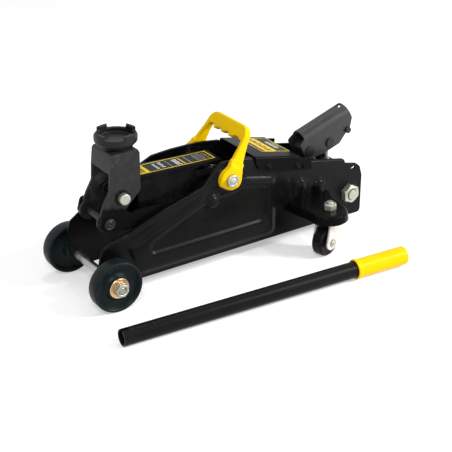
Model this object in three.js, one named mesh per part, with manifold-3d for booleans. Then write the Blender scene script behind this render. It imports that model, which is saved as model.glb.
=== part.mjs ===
// Hydraulic floor jack, two-tonne class, with its loose pump lever lying beside it.
// Units are millimetres. X runs from the front axle to the rear, Y to the jack's right
// side (left is minus Y) and Z up from the floor. Each piece is one named mesh, and the
// pieces that move together share a group whose position is their pivot.

import * as THREE from 'three';
import { mergeVertices } from 'three/addons/utils/BufferGeometryUtils.js';
import Module from 'manifold-3d';

const wasm = await Module();
wasm.setup();

// Clearances and shared making sizes
const gap = 0.3;
const overrun = 2;
const seat = 0.02;
const samePoint = 0.001;
const cornerRoomShare = 0.49;
const straightAngle = 0.05;
const wheelSides = 28;
const rodSides = 14;
const smallSides = 10;
const hexSides = 6;
const filletSteps = 2;
const quarterTurn = Math.PI / 2;
const halfTurn = Math.PI;
const fullTurn = 2 * Math.PI;

// Side plates
const plateLength = 403;
const plateHeight = 125;
const plateThickness = 3;
const plateSpacing = 70.2;
const groundClearance = 16.3;
const noseReach = 12;
const plateCornerRadius = 7;
const flangeReach = 2.6;
const flangeFront = 28;
const flangeFromRear = 31;
const embossHeight = 3.2;
const embossSlope = 3;
const embossCornerRadius = 10;
const recessCornerRadius = 5;
const bumpWidth = 21;
const bumpHeights = [28, 20.3];
const bumpProud = 5;
const bumpAboveWing = 1;
const lipFloorShare = 0.5;
const bumpFromRear = [103.6, 73.2];
const grooveWidth = 4;
const grooveHeight = 27;
const grooveDepth = 1.2;
const grooveFromRear = 50;
const grooveFloorShare = 0.3016;
const tagSlotLength = 9;
const tagSlotWidth = 4;
const tagSlotFromRear = 17;
const tagSlotShare = 0.5296;
const tagSlotLean = 0.4;
const nutPadRadius = 15.5;
const nutPadProud = 1.2;

// Front axle and wheels
const wheelRadius = 32;
const wheelWidth = 17;
const wheelInset = 13;
const wheelRimThickness = 4;
const wheelRecess = 5;
const wheelWebThickness = 6;
const wheelHubRadius = 13.5;
const wheelHubSink = 1;
const wheelInnerHubRadius = 11;
const wheelEdgeRound = 1.2;
const axleRadius = 5.5;
const axleEndInNut = 3.4;
const washerRadius = 12.8;
const washerThickness = 2;
const axleNutRadius = 8.8;
const axleNutHeight = 7.4;

// Lift arm linkage
const pivotShares = [0.402, 0.616];
const armLength = 138.4;
const armRise = 3;
const linkOffsetX = 21.8;
const linkOffsetZ = 26.5;
const pivotShaftRadius = 7;
const pivotDomeRadius = 10.5;
const pivotDomeProud = 7.5;
const pivotShaftBite = 2.2;
const linkPadRadius = 12;
const linkPinRadius = 5;
const linkRodHalfHeight = 6;
const linkEyeRadius = 7;
const linkRodThickness = 4;
const linkRodInset = 10;
const linkCutSweep = 1.87;
const lowAngle = 0.454;
const cheekThickness = 4;
const cheekSideClearance = 6.1;
const channelSideGap = 5.3;
const channelThickness = 3;
const channelHeight = 44.5;
const channelSlope = 0.0343;
const channelFromBolt = 45.4;
const channelRear = 26;
const channelBendRadius = 4;
const ledgeTop = 10.4;
const ledgeFromBolt = 61.4;
const ledgeRear = 22;
const pivotLobeRadius = 24;
const heelLength = 42;
const heelLean = 0.166;
const heelLobeRadius = 13;
const heelPinRadius = 6;
const heelStubRadius = 4;
const linkFrontClearance = 0.8;
const saddleBoltRadius = 5.5;
const saddleBoltHeadRadius = 7;
const saddleBoltHeadHeight = 2.8;

// Saddle bracket and saddle
const bracketSideGap = 1.7;
const bracketThickness = 3;
const bracketFront = 6.7;
const bracketRear = 47.4;
const bracketTop = 83.2;
const bracketPanelDrop = 24.5;
const bracketFrontLean = 2.9;
const bracketLobeRadius = 13;
const bracketBendRadius = 5;
const upperBoltRadius = 5;
const upperBoltHeadRadius = 6.7;
const upperBoltHeadHeight = 7.2;
const upperBoltWasherRadius = 8.5;
const upperBoltWasherThickness = 1.1;
const upperBoltScoop = 1;
const saddleCentre = 29;
const saddleRadius = 26;
const saddleRimHeight = 19.2;
const saddleFloorHeight = 8.6;
const saddleFootRadius = 20.5;
const saddleFootHeight = 1.2;
const saddleTaperHeight = 7.5;
const saddleWall = 4.6;
const saddleNotchDepth = 4.6;
const saddleNotchWidth = 22.5;
const saddleNotches = 4;
const saddleTurn = -0.564;
const saddleStemRadius = 8;
const saddleStemBelow = 10.5;
const saddleStemNeck = 2;
const saddleClipRadius = 11.5;
const saddleClipWidth = 3.4;
const saddleClipThickness = 3;

// Hydraulic unit
const blockLength = 88;
const blockInset = 7;
const blockBelowRam = 27.3;
const blockAboveRam = 22.7;
const blockSideGap = 0.3;
const blockEdge = 6;
const ramAboveHeel = 3.4;
const reservoirRadius = 27;
const reservoirWall = 2.2;
const ramCylinderRadius = 17;
const ramRadius = 12;
const glandThickness = 7.5;
const glandFromHeel = 57;
const crossheadLength = 12;
const crossheadHeight = 34;
const crossheadSideGap = 1.2;
const heelRunningGap = 0.6;
const ramPistonLength = 12;
const ramPistonShare = 0.334;
const ramCylinderWall = 3;
const ramCylinderBite = 10;
const ramSealWidth = 5;
const ramSealDepth = 2;
const fillerRadius = 5;
const fillerProud = 4;
const fillerHeadRadius = 7;
const fillerFromGland = 8;
const returnSpringRadius = 2.5;
const rearBoltFromRear = 24.5;
const rearBoltRise = 22;
const rearBoltRadius = 7;
const rearNutRadius = 13;
const nutChamfer = 1;
const rearNutThickness = 9.5;
const rearBoltProud = 2.2;
const plungerLead = 1.9;
const pumpBarrelRadius = 10.6;
const pumpBarrelProud = 13;
const pumpBarrelDepth = 18;
const plungerRadius = 6;
const plungerHeadRadius = 9;
const plungerHeadThickness = 4;
const plungerFloorGap = 4;
const plungerRollerGap = 0.8;
const pumpSpringRadius = 9;
const pumpSpringWire = 2;
const valveDrop = 11;
const valveRadius = 5.7;
const valveDepth = 18;
const valveProud = 6;
const valveCollarRadius = 8;
const valveCollarLength = 3;
const valveCrossRadius = 2;
const valveCrossLength = 17;

// Handle socket
const socketPivotFromRear = 72;
const socketPivotRise = 33.5;
const socketPivotRadius = 5;
const socketPinHeadRadius = 7;
const socketPinHeadHeight = 1.8;
const socketTilt = 0.321;
const socketRadius = 14.5;
const socketWall = 2.5;
const socketAxisHeight = 12.4;
const socketReach = 75.6;
const socketNotchWidth = 7;
const socketNotchLength = 9;
const socketNotchFromMouth = 4;
const socketNotchRound = 1;
const rollerAlongShare = 0.434;
const rollerDrop = 5.6;
const rollerPinRadius = 5;
const rollerHeadRadius = 6.4;
const rollerHeadHeight = 2.4;
const clampAlongShare = 0.847;
const clampDrop = 4;
const clampScrewRadius = 2.5;
const clampHeadRadius = 4.4;
const clampHeadHeight = 3;
const earHalfWidth = 11.4;
const earRadius = 10;

// Cover plate
const coverNose = 1;
const coverTabLength = 18;
const coverSeatGap = 0.6;
const coverThickness = 2;
const coverFlangeHeight = 19.5;
const coverEdgeRadius = 2;
const coverSlitWidth = 1.4;
const coverSlitHeight = 9;
const coverSlitFromRear = 16;
const coverDimpleRadius = 3.4;
const coverDimpleProud = 1.1;
const coverDimplesFromFront = [17, 62];
const coverDimpleDrop = 12;

// Carry handle
const bailLean = 0.56;
const bailTop = 64.5;
const bailGripDepth = 14.5;
const bailEyeRadius = 15.5;
const bailEyeThickness = 8;
const bailLegThickness = 6.6;
const bailRootRise = 20;
const bailRootWidth = 17;
const bailRootDraw = 2.6;
const bailNeckRise = 46;
const bailNeckDraw = 5;
const bailWidth = 9.6;
const bailCornerRadius = 11;
const bailInnerCornerRadius = 4;
const bailEdgeRadius = 2.4;
const bailFingers = 3;
const bailFingerSpan = 17;
const bailFingerDepth = 3;
const bailBoltHeadRadius = 8.2;
const bailBoltHeadHeight = 4.6;
const bailBoltChamfer = 2;
const bailBoltShankRadius = 3.7;
const bailBoltShankLength = 14;

// Rear casters and their wings
const casterFromRear = 92;
const casterSide = 85;
const casterTurn = 0.28;
const casterTrail = 8.5;
const casterRadius = 20;
const casterWidth = 14;
const casterEdgeRound = 2.5;
const casterRecess = 2;
const casterHubRadius = 8;
const casterAxleRadius = 3.6;
const casterRivetRadius = 5.2;
const casterRivetHeight = 2;
const forkThickness = 2.4;
const forkSideGap = 1;
const forkEyeRadius = 10;
const forkTop = 46;
const forkTopRadius = 13.5;
const casterRaceRadius = 13;
const casterStudRadius = 5;
const casterNutRadius = 8.6;
const casterNutHeight = 8;
const casterStudProud = 2;
const casterStudFlangeRadius = 8;
const casterStudFlangeHeight = 1.8;
const wingTop = 61.5;
const wingThickness = 3;
const wingRimHeight = 12;
const wingTopRound = 2;
const wingEndRadius = 24.5;
const wingRimFlare = 2.5;
const wingCentreLead = 3.5;

// Loose pump lever
const leverRadius = 10.4;
const leverWall = 2;
const leverLength = 392;
const leverTubeEnd = 384;
const leverGripStart = 316;
const leverGripRadius = 12;
const leverCollarRadius = 12.9;
const leverCollarLength = 5;
const leverStartX = -35.5;
const leverStartY = -134;
const leverYaw = -0.0815;
const leverSlotWidth = 5;
const leverSlotLength = 9;
const leverButtonRadius = 2.6;
const leverButtonProud = 1.8;
const leverButtonAlong = 38;
const leverButtonTilt = 0.35;

// Places that several pieces share
const onPlate = (shares) => shares.map(
  ([a, b]) => [a * plateLength - noseReach, groundClearance + b * plateHeight],
);
const plateInner = plateSpacing / 2;
const plateOuter = plateInner + plateThickness;
const rearX = plateLength - noseReach;
const plateTop = groundClearance + plateHeight;
const [[pivotX, pivotZ]] = onPlate([pivotShares]);
const armReach = Math.sqrt(armLength ** 2 - armRise ** 2);
const linkPinX = pivotX + linkOffsetX;
const linkPinZ = pivotZ + linkOffsetZ;
const saddleBoltX = pivotX - armReach;
const saddleBoltZ = pivotZ + armRise;
const heelX = heelLength * Math.sin(heelLean);
const heelZ = -heelLength * Math.cos(heelLean);
const cheekOuter = plateInner - cheekSideClearance;
const cheekInner = cheekOuter - cheekThickness;
const channelHalfWidth = cheekInner - channelSideGap;
const bracketHalfWidth = cheekInner - bracketSideGap;
const blockRear = rearX - blockInset;
const blockFront = blockRear - blockLength;
const ramAxisZ = pivotZ + heelZ + ramAboveHeel;
const blockBottom = ramAxisZ - blockBelowRam;
const blockTop = ramAxisZ + blockAboveRam;
const rearBoltX = rearX - rearBoltFromRear;
const rearBoltZ = blockBottom + rearBoltRise;
const valveZ = blockTop - valveDrop;
const socketPivotX = rearX - socketPivotFromRear;
const socketPivotZ = blockTop + socketPivotRise;
const rollerAlong = socketReach * rollerAlongShare;
const clampAlong = socketReach * clampAlongShare;
const rollerRun = rollerAlong * Math.cos(socketTilt) + rollerDrop * Math.sin(socketTilt);
const rollerRise = rollerAlong * Math.sin(socketTilt) - rollerDrop * Math.cos(socketTilt);
const pumpX = socketPivotX + rollerRun - plungerLead;
const pumpBarrelTop = blockTop + pumpBarrelProud;
const pumpBarrelBottom = blockTop - pumpBarrelDepth;
const casterX = rearX - casterFromRear;
const glandFront = pivotX + heelX + glandFromHeel;
const wheelInner = plateOuter + wheelInset;
const wheelOuter = wheelInner + wheelWidth;
const bailInner = plateOuter + embossHeight + gap;
const bailEyeOuter = bailInner + bailEyeThickness;
const bailOuter = bailEyeOuter + gap;

// Finishes
const finish = (color, metalness, roughness) => (
  new THREE.MeshStandardMaterial({ color, metalness, roughness })
);
const blackPaint = () => finish(0x0c0c0d, 0.2, 0.3);
const satinBlack = () => finish(0x2a2a2c, 0.3, 0.5);
const castGrey = () => finish(0x3a3a3c, 0.5, 0.6);
const wheelBlack = () => finish(0x24292b, 0.3, 0.5);
const zinc = () => finish(0xc9c8bd, 0.9, 0.35);
const yellowZinc = () => finish(0xcdb06a, 0.9, 0.35);
const bareSteel = () => finish(0xa9adae, 0.9, 0.3);
const springSteel = () => finish(0x6c7072, 0.9, 0.4);
const yellowPlastic = () => finish(0xf2c800, 0, 0.45);
const rubberRed = () => finish(0x8c1f1a, 0, 0.7);

// A closed three.js geometry as a solid that can be joined and cut
function solidOf(geometry) {
  const bare = geometry.clone();
  bare.deleteAttribute('uv');
  bare.deleteAttribute('normal');
  const merged = mergeVertices(bare);
  const vertProperties = new Float32Array(merged.attributes.position.array);
  const corners = Array.from(merged.index.array);
  const kept = corners.filter((_, i) => {
    const [a, b, c] = corners.slice(i - i % 3, i - i % 3 + 3);
    return a !== b && b !== c && c !== a;
  });
  const triVerts = new Uint32Array(kept);
  const solid = new wasm.Manifold(new wasm.Mesh({ numProp: 3, vertProperties, triVerts }));
  if (solid.volume() >= 0) return solid;
  for (let i = 0; i < triVerts.length; i += 3) {
    [triVerts[i], triVerts[i + 1]] = [triVerts[i + 1], triVerts[i]];
  }
  return new wasm.Manifold(new wasm.Mesh({ numProp: 3, vertProperties, triVerts }));
}

// A solid as a mesh geometry with flat facets
function geometryOf(solid) {
  const { numProp, vertProperties, triVerts } = solid.getMesh();
  const positions = new Float32Array(vertProperties.length / numProp * 3);
  for (let i = 0; i < positions.length / 3; i += 1) {
    positions.set(vertProperties.slice(i * numProp, i * numProp + 3), i * 3);
  }
  const geometry = new THREE.BufferGeometry();
  geometry.setAttribute('position', new THREE.BufferAttribute(positions, 3));
  geometry.setIndex(Array.from(triVerts));
  geometry.computeVertexNormals();
  return geometry;
}

function join(...solids) {
  return solids.reduce((sum, solid) => sum.add(solid));
}

function cut(body, ...cutters) {
  return cutters.reduce((rest, cutter) => rest.subtract(cutter), body);
}

// Adds one named piece to a group
function place(group, name, solid, material) {
  const mesh = new THREE.Mesh(geometryOf(solid), material);
  mesh.name = name;
  group.add(mesh);
  return mesh;
}

function groupAt(parent, name, x, y, z) {
  const group = new THREE.Group();
  group.name = name;
  group.position.set(x, y, z);
  parent.add(group);
  return group;
}

// The low and high ends of a stretch from a to b on the given side, minus 1 left or 1 right
function onSide(side, a, b) {
  return [Math.min(side * a, side * b), Math.max(side * a, side * b)];
}

const sideName = (side) => (side < 0 ? 'left' : 'right');

// Points of an arc, from one angle to another about a centre
function arcPoints(x, z, radius, from, to, steps) {
  const points = [];
  for (let i = 0; i <= steps; i += 1) {
    const angle = from + (to - from) * i / steps;
    points.push([x + radius * Math.cos(angle), z + radius * Math.sin(angle)]);
  }
  return points;
}

// An outline with every corner rounded, as far as its sides have room
function rounded(points, radius, steps = filletSteps) {
  const out = [];
  points.forEach((point, i) => {
    const corner = new THREE.Vector2(...point);
    const before = new THREE.Vector2(...points[(i + points.length - 1) % points.length]).sub(corner);
    const after = new THREE.Vector2(...points[(i + 1) % points.length]).sub(corner);
    const between = before.angleTo(after);
    const room = Math.min(before.length(), after.length()) * cornerRoomShare;
    const reach = Math.min(radius / Math.tan(between / 2), room);
    const bend = reach * Math.tan(between / 2);
    if (halfTurn - between < straightAngle) {
      out.push([corner.x, corner.y]);
      return;
    }
    before.normalize();
    after.normalize();
    const toCentre = bend / Math.sin(between / 2);
    const centre = before.clone().add(after).normalize().multiplyScalar(toCentre).add(corner);
    const first = before.multiplyScalar(reach).add(corner).sub(centre);
    const last = after.multiplyScalar(reach).add(corner).sub(centre);
    let sweep = last.angle() - first.angle();
    if (sweep > halfTurn) sweep -= fullTurn;
    if (sweep < -halfTurn) sweep += fullTurn;
    for (let k = 0; k <= steps; k += 1) {
      const spoke = first.clone().rotateAround(new THREE.Vector2(), sweep * k / steps);
      out.push([centre.x + spoke.x, centre.y + spoke.y]);
    }
  });
  return out;
}

// Leaves out points that repeat the one before them
function distinct(points) {
  return points.filter(([a, b], i) => {
    const [c, d] = points[(i + points.length - 1) % points.length];
    return Math.hypot(a - c, b - d) > samePoint;
  });
}

function shapeOf(outline, cutouts = []) {
  const points = distinct(outline);
  const holes = cutouts.map(distinct);
  const shape = new THREE.Shape(points.map(([a, b]) => new THREE.Vector2(a, b)));
  holes.forEach((hole) => shape.holes.push(new THREE.Path(hole.map(([a, b]) => new THREE.Vector2(a, b)))));
  return shape;
}

// An outline in X and Z, thick from yLow to yHigh
function slabY(points, yLow, yHigh, holes = []) {
  const depth = yHigh - yLow;
  const geometry = new THREE.ExtrudeGeometry(shapeOf(points, holes), { depth, bevelEnabled: false });
  geometry.rotateX(quarterTurn);
  geometry.translate(0, yHigh, 0);
  return solidOf(geometry);
}

// An outline in X and Y, thick from zLow to zHigh
function slabZ(points, zLow, zHigh, holes = []) {
  const depth = zHigh - zLow;
  const geometry = new THREE.ExtrudeGeometry(shapeOf(points, holes), { depth, bevelEnabled: false });
  geometry.translate(0, 0, zLow);
  return solidOf(geometry);
}

// An outline in Y and Z, thick from xLow to xHigh
function slabX(points, xLow, xHigh, holes = []) {
  const depth = xHigh - xLow;
  const geometry = new THREE.ExtrudeGeometry(shapeOf(points, holes), { depth, bevelEnabled: false });
  const turn = new THREE.Matrix4().makeBasis(
    new THREE.Vector3(0, 1, 0),
    new THREE.Vector3(0, 0, 1),
    new THREE.Vector3(1, 0, 0),
  );
  geometry.applyMatrix4(turn);
  geometry.translate(xLow, 0, 0);
  return solidOf(geometry);
}

function box(xLow, xHigh, yLow, yHigh, zLow, zHigh) {
  const geometry = new THREE.BoxGeometry(xHigh - xLow, yHigh - yLow, zHigh - zLow);
  geometry.translate((xLow + xHigh) / 2, (yLow + yHigh) / 2, (zLow + zHigh) / 2);
  return solidOf(geometry);
}

function rodY(x, z, radius, yLow, yHigh, sides = rodSides, turn = 0) {
  const geometry = new THREE.CylinderGeometry(radius, radius, yHigh - yLow, sides);
  geometry.rotateY(turn);
  geometry.translate(x, (yLow + yHigh) / 2, z);
  return solidOf(geometry);
}

function rodX(y, z, radius, xLow, xHigh, sides = rodSides, turn = 0) {
  const geometry = new THREE.CylinderGeometry(radius, radius, xHigh - xLow, sides);
  geometry.rotateY(turn);
  geometry.rotateZ(-quarterTurn);
  geometry.translate((xLow + xHigh) / 2, y, z);
  return solidOf(geometry);
}

function rodZ(x, y, radius, zLow, zHigh, sides = rodSides, turn = 0) {
  const geometry = new THREE.CylinderGeometry(radius, radius, zHigh - zLow, sides);
  geometry.rotateY(turn);
  geometry.rotateX(quarterTurn);
  geometry.translate(x, y, (zLow + zHigh) / 2);
  return solidOf(geometry);
}

// A turned form about the Y axis. The profile is radius and place along Y.
function turnedY(profile, sides, x = 0, z = 0, turn = 0) {
  const geometry = new THREE.LatheGeometry(profile.map(([r, y]) => new THREE.Vector2(r, y)), sides);
  geometry.rotateY(turn);
  geometry.translate(x, 0, z);
  return solidOf(geometry);
}

// A turned form about the Z axis. The profile is radius and height.
function turnedZ(profile, sides, x = 0, y = 0, turn = 0) {
  const geometry = new THREE.LatheGeometry(profile.map(([r, z]) => new THREE.Vector2(r, z)), sides);
  geometry.rotateY(turn);
  geometry.rotateX(quarterTurn);
  geometry.translate(x, y, 0);
  return solidOf(geometry);
}

// A dome on a plate's outer face
function domeY(x, z, radius, proud, side, sides = smallSides) {
  const profile = arcPoints(0, 0, 1, 0, quarterTurn, filletSteps)
    .map(([r, y]) => [r * radius, side * (plateOuter + y * proud)]);
  profile[profile.length - 1][0] = 0;
  const start = side * (plateOuter - overrun);
  return turnedY([[0, start], [radius, start], ...profile], sides, x, z);
}

const hexTurn = fullTurn / hexSides / 2;

// A closed band about the Y axis between two radii
function ringY(x, z, inner, outer, yLow, yHigh, sides = rodSides) {
  const profile = [[inner, yLow], [outer, yLow], [outer, yHigh], [inner, yHigh], [inner, yLow]];
  return turnedY(profile, sides, x, z);
}

function ringZ(x, y, inner, outer, zLow, zHigh, sides = rodSides) {
  const profile = [[inner, zLow], [outer, zLow], [outer, zHigh], [inner, zHigh], [inner, zLow]];
  return turnedZ(profile, sides, x, y);
}

// Hexagons with their corners taken off at both ends
function hexY(x, z, radius, yLow, yHigh) {
  const flat = radius * Math.cos(hexTurn);
  const trim = turnedY([
    [0, yLow], [flat, yLow], [radius, yLow + nutChamfer],
    [radius, yHigh - nutChamfer], [flat, yHigh], [0, yHigh],
  ], rodSides, x, z);
  return rodY(x, z, radius, yLow, yHigh, hexSides).intersect(trim);
}

function hexZ(x, y, radius, zLow, zHigh) {
  const flat = radius * Math.cos(hexTurn);
  const trim = turnedZ([
    [0, zLow], [flat, zLow], [radius, zLow + nutChamfer],
    [radius, zHigh - nutChamfer], [flat, zHigh], [0, zHigh],
  ], rodSides, x, y);
  return rodZ(x, y, radius, zLow, zHigh, hexSides).intersect(trim);
}

// A solid through a stack of outlines with equal point counts, each at its own level
function stackOf(layers, toPoint) {
  const count = layers[0].points.length;
  const positions = layers.flatMap(({ level, points }) => points.flatMap((point) => toPoint(point, level)));
  const anticlockwise = THREE.ShapeUtils.area(layers[0].points.map(([x, y]) => ({ x, y }))) > 0;
  const index = [];
  layers.slice(1).forEach((layer, k) => {
    for (let i = 0; i < count; i += 1) {
      const a = k * count + i;
      const b = k * count + (i + 1) % count;
      if (anticlockwise) index.push(a, b, b + count, a, b + count, a + count);
      else index.push(b, a, b + count, b + count, a, a + count);
    }
  });
  const top = (layers.length - 1) * count;
  const flat = (points) => points.map(([a, b]) => new THREE.Vector2(a, b));
  const capOf = (points) => THREE.ShapeUtils.triangulateShape(flat(points), []);
  capOf(layers[0].points).forEach(([a, b, c]) => index.push(a, c, b));
  capOf(layers[layers.length - 1].points).forEach((face) => index.push(...face.map((i) => top + i)));
  const geometry = new THREE.BufferGeometry();
  geometry.setAttribute('position', new THREE.Float32BufferAttribute(positions, 3));
  geometry.setIndex(index);
  return solidOf(geometry);
}
const stackZ = (layers) => stackOf(layers, ([x, y], z) => [x, y, z]);
const stackY = (layers) => stackOf(layers, ([x, z], y) => [x, y, z]);

// An outline with every side moved inwards by a distance
function inset(points, distance) {
  const turn = Math.sign(THREE.ShapeUtils.area(points.map(([x, y]) => ({ x, y }))));
  return points.map(([x, z], i) => {
    const [ax, az] = points[(i + points.length - 1) % points.length];
    const [bx, bz] = points[(i + 1) % points.length];
    const before = new THREE.Vector2(x - ax, z - az).normalize();
    const after = new THREE.Vector2(bx - x, bz - z).normalize();
    const across = new THREE.Vector2(-before.y, before.x);
    const bisector = new THREE.Vector2(-before.y - after.y, before.x + after.x).normalize();
    const reach = turn * distance / bisector.dot(across);
    return [x + bisector.x * reach, z + bisector.y * reach];
  });
}

// A raised form on a plate's outer face, with sloping sides
function embossY(points, radius, side, height, slope) {
  const base = rounded(points, radius);
  return stackY([
    { level: side * (plateOuter - plateThickness / 2), points: base },
    { level: side * plateOuter, points: base },
    { level: side * (plateOuter + height), points: rounded(inset(points, slope), radius) },
  ]);
}

const scaledBy = (shares, length) => shares.map(([a, b]) => [a * length, b * length]);

// Plate outlines, as shares of the plate's length and height from its lower front. The
// cover lies on the edge between the two points of coverSeatShares.
const coverSeatShares = [[0.7295, 0.8288], [0.5608, 0.9448]];
const leftPlateShares = [
  [0.0298, 0.0], [0.7965, 0.0], [0.9628, -0.0168], [1.0, -0.02],
  [1.0, 0.42], [0.99, 0.53], [0.9715, 0.5754], [0.9258, 0.6113],
  [0.9223, 0.6569], [0.7829, 0.7472],
  [0.737, 0.776], ...coverSeatShares, [0.5409, 0.9672],
  [0.4864, 0.9784], [0.4404, 0.9888], [0.3695, 0.7736], [0.2308, 0.6528],
  [0.1712, 0.5904], [0.1117, 0.5192], [0.0563, 0.492], [0.0223, 0.4352],
  [0.0107, 0.332], [0.0, 0.1416], [0.0074, 0.0456],
];
const rightPlateShares = [
  [0.0298, 0.0], [0.7965, 0.0], [0.9628, -0.0168], [1.0, -0.02],
  [1.0, 0.42], [0.99, 0.53], [0.9715, 0.5754], [0.9258, 0.6113],
  [0.9223, 0.6569], [0.7829, 0.7472],
  [0.737, 0.776], ...coverSeatShares, [0.5409, 0.9672],
  [0.4864, 0.9912], [0.4392, 0.9992], [0.3648, 0.9976], [0.2978, 0.9816],
  [0.2643, 0.9336], [0.0454, 0.5856], [0.0102, 0.5088], [0.0, 0.4216],
  [0.0, 0.1416], [0.0074, 0.0456],
];
const ringShares = [
  [0.1042, 0.3496], [0.1107, 0.408], [0.4042, 0.7648], [0.5298, 0.784],
  [0.6427, 0.7], [0.6427, 0.0456], [0.139, 0.0456],
];
const recessShares = [
  [0.1836, 0.2696], [0.1898, 0.3504], [0.3531, 0.5712], [0.5203, 0.652],
  [0.597, 0.6056], [0.5955, 0.2696],
];

// Cheek outline about the main pivot, as shares of the arm's length
const cheekShares = [
  [-1.0549, 0.1431], [-0.815, 0.1012], [-0.7767, 0.0766], [-0.698, 0.0838],
  [-0.396, 0.0751], [0.0, 0.1012], [0.0723, -0.0723], [-0.1445, -0.159],
  [-0.4335, -0.1156], [-0.9415, -0.0607], [-1.0368, -0.0426], [-1.0918, 0.0108],
];

// Bracket side about the lower bolt, as shares of the bracket's height
const bracketShares = [
  [0.1154, 1.0], [0.0805, 0.7055], [0.0649, 0.4531], [-0.0337, 0.2825],
  [-0.0793, 0.1767], [-0.11, 0.0], [0.0, -0.11], [0.1442, -0.0601],
  [0.2812, 0.0925], [0.5637, 0.369], [0.5697, 1.0],
];

// Socket side about its pivot, as shares of the socket's reach
const socketSideShares = [
  [-0.1508, 0.1878], [-0.0212, 0.2447], [-0.0212, 0.4], [0.9788, 0.4],
  [1.0053, 0.1151], [0.9167, -0.0397], [0.8135, -0.0899], [0.6257, -0.209],
  [0.2646, -0.209], [0.1058, -0.172], [-0.1058, -0.1323],
];

const jack = new THREE.Group();
jack.name = 'hydraulic_floor_jack';
const chassis = groupAt(jack, 'chassis', 0, 0, 0);

// Side plates with their raised ribs, domes and bores
const heightAt = (share) => groundClearance + share * plateHeight;
const bumpFloorZ = wingTop + bumpAboveWing;
const grooveFloorZ = heightAt(grooveFloorShare);
const tagSlotZ = heightAt(tagSlotShare);
function sidePlate(side, shares) {
  const outline = rounded(onPlate(shares), plateCornerRadius);
  const [yLow, yHigh] = onSide(side, plateInner, plateOuter);
  const [lipLow, lipHigh] = onSide(side, plateInner - flangeReach, plateInner + plateThickness / 2);
  const below = outline.map(([x, z]) => [x, z - plateThickness]);
  const lip = slabY(outline, lipLow, lipHigh)
    .subtract(slabY(below, lipLow - overrun, lipHigh + overrun))
    .intersect(box(flangeFront, rearX - flangeFromRear, lipLow, lipHigh, heightAt(lipFloorShare), plateTop));
  const recess = onPlate(recessShares);
  const recessTop = rounded(inset(recess, -embossSlope), recessCornerRadius);
  const ring = cut(
    embossY(onPlate(ringShares), embossCornerRadius, side, embossHeight, embossSlope),
    stackY([
      { level: side * plateOuter, points: rounded(recess, recessCornerRadius) },
      { level: side * (plateOuter + embossHeight), points: recessTop },
      { level: side * (plateOuter + embossHeight + overrun), points: recessTop },
    ]),
  );
  const bumps = bumpFromRear.map((fromRear, i) => {
    const centre = rearX - fromRear;
    const half = bumpWidth / 2;
    const top = bumpFloorZ + bumpHeights[i];
    const [front, rear] = [centre - half, centre + half];
    const corners = [[front, bumpFloorZ], [rear, bumpFloorZ], [rear, top], [front, top]];
    return embossY(corners, half, side, bumpProud, embossSlope);
  });
  const [padLow, padHigh] = onSide(side, plateInner + plateThickness / 2, plateOuter + embossHeight);
  const linkPad = rodY(linkPinX, linkPinZ, linkPadRadius, padLow, padHigh);
  const [nutLow, nutHigh] = onSide(side, plateInner + plateThickness / 2, plateOuter + nutPadProud);
  const nutPad = rodY(rearBoltX, rearBoltZ, nutPadRadius, nutLow, nutHigh, wheelSides);
  const dome = domeY(pivotX, pivotZ, pivotDomeRadius, pivotDomeProud, side);
  const body = join(slabY(outline, yLow, yHigh), lip, ring, ...bumps, linkPad, nutPad, dome);

  const reach = plateOuter + bumpProud + overrun;
  const [cutLow, cutHigh] = onSide(side, plateInner - flangeReach - overrun, reach);
  const [biteLow, biteHigh] = onSide(side, plateInner - overrun, plateOuter + pivotShaftBite + gap);
  const slotX = rearX - tagSlotFromRear;
  const half = tagSlotLength / 2;
  const rise = tagSlotWidth / 2;
  const slot = [[-half, -rise], [half, -rise], [half, rise], [-half, rise]];
  const slotPoints = rounded(slot, tagSlotWidth / 2).map(([a, b]) => [
    slotX + a * Math.cos(tagSlotLean) - b * Math.sin(tagSlotLean),
    tagSlotZ + a * Math.sin(tagSlotLean) + b * Math.cos(tagSlotLean),
  ]);
  const grooveX = rearX - grooveFromRear;
  const [grooveLow, grooveHigh] = onSide(side, plateOuter - grooveDepth, plateOuter + overrun);
  return cut(
    body,
    rodY(0, wheelRadius, axleRadius + gap, cutLow, cutHigh),
    rodY(pivotX, pivotZ, pivotShaftRadius + gap, biteLow, biteHigh),
    rodY(linkPinX, linkPinZ, linkPinRadius + gap, cutLow, cutHigh),
    rodY(rearBoltX, rearBoltZ, rearBoltRadius + gap, cutLow, cutHigh),
    slabY(slotPoints, cutLow, cutHigh),
    box(
      grooveX - grooveWidth / 2, grooveX + grooveWidth / 2, grooveLow, grooveHigh,
      grooveFloorZ, grooveFloorZ + grooveHeight,
    ),
  );
}
place(chassis, 'left_side_plate', sidePlate(-1, leftPlateShares), blackPaint());
place(chassis, 'right_side_plate', sidePlate(1, rightPlateShares), blackPaint());

// Front axle with its washers and cap nuts
const wheelHubFace = wheelOuter - wheelHubSink;
const washerInner = wheelHubFace + gap;
const nutInner = washerInner + washerThickness + gap;
const axleEnd = nutInner + axleEndInNut;
place(chassis, 'front_axle', rodY(0, wheelRadius, axleRadius, -axleEnd, axleEnd), bareSteel());
for (const side of [-1, 1]) {
  const [washerLow, washerHigh] = onSide(side, washerInner, washerInner + washerThickness);
  const washer = ringY(0, wheelRadius, axleRadius + gap, washerRadius, washerLow, washerHigh);
  place(chassis, `axle_washer_${sideName(side)}`, washer, yellowZinc());
  const [nutLow, nutHigh] = onSide(side, nutInner, nutInner + axleNutHeight);
  const [boreLow, boreHigh] = onSide(side, nutInner - overrun, axleEnd + gap);
  const bore = rodY(0, wheelRadius, axleRadius + gap, boreLow, boreHigh);
  const nut = cut(hexY(0, wheelRadius, axleNutRadius, nutLow, nutHigh), bore);
  place(chassis, `axle_nut_${sideName(side)}`, nut, zinc());
}

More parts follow.
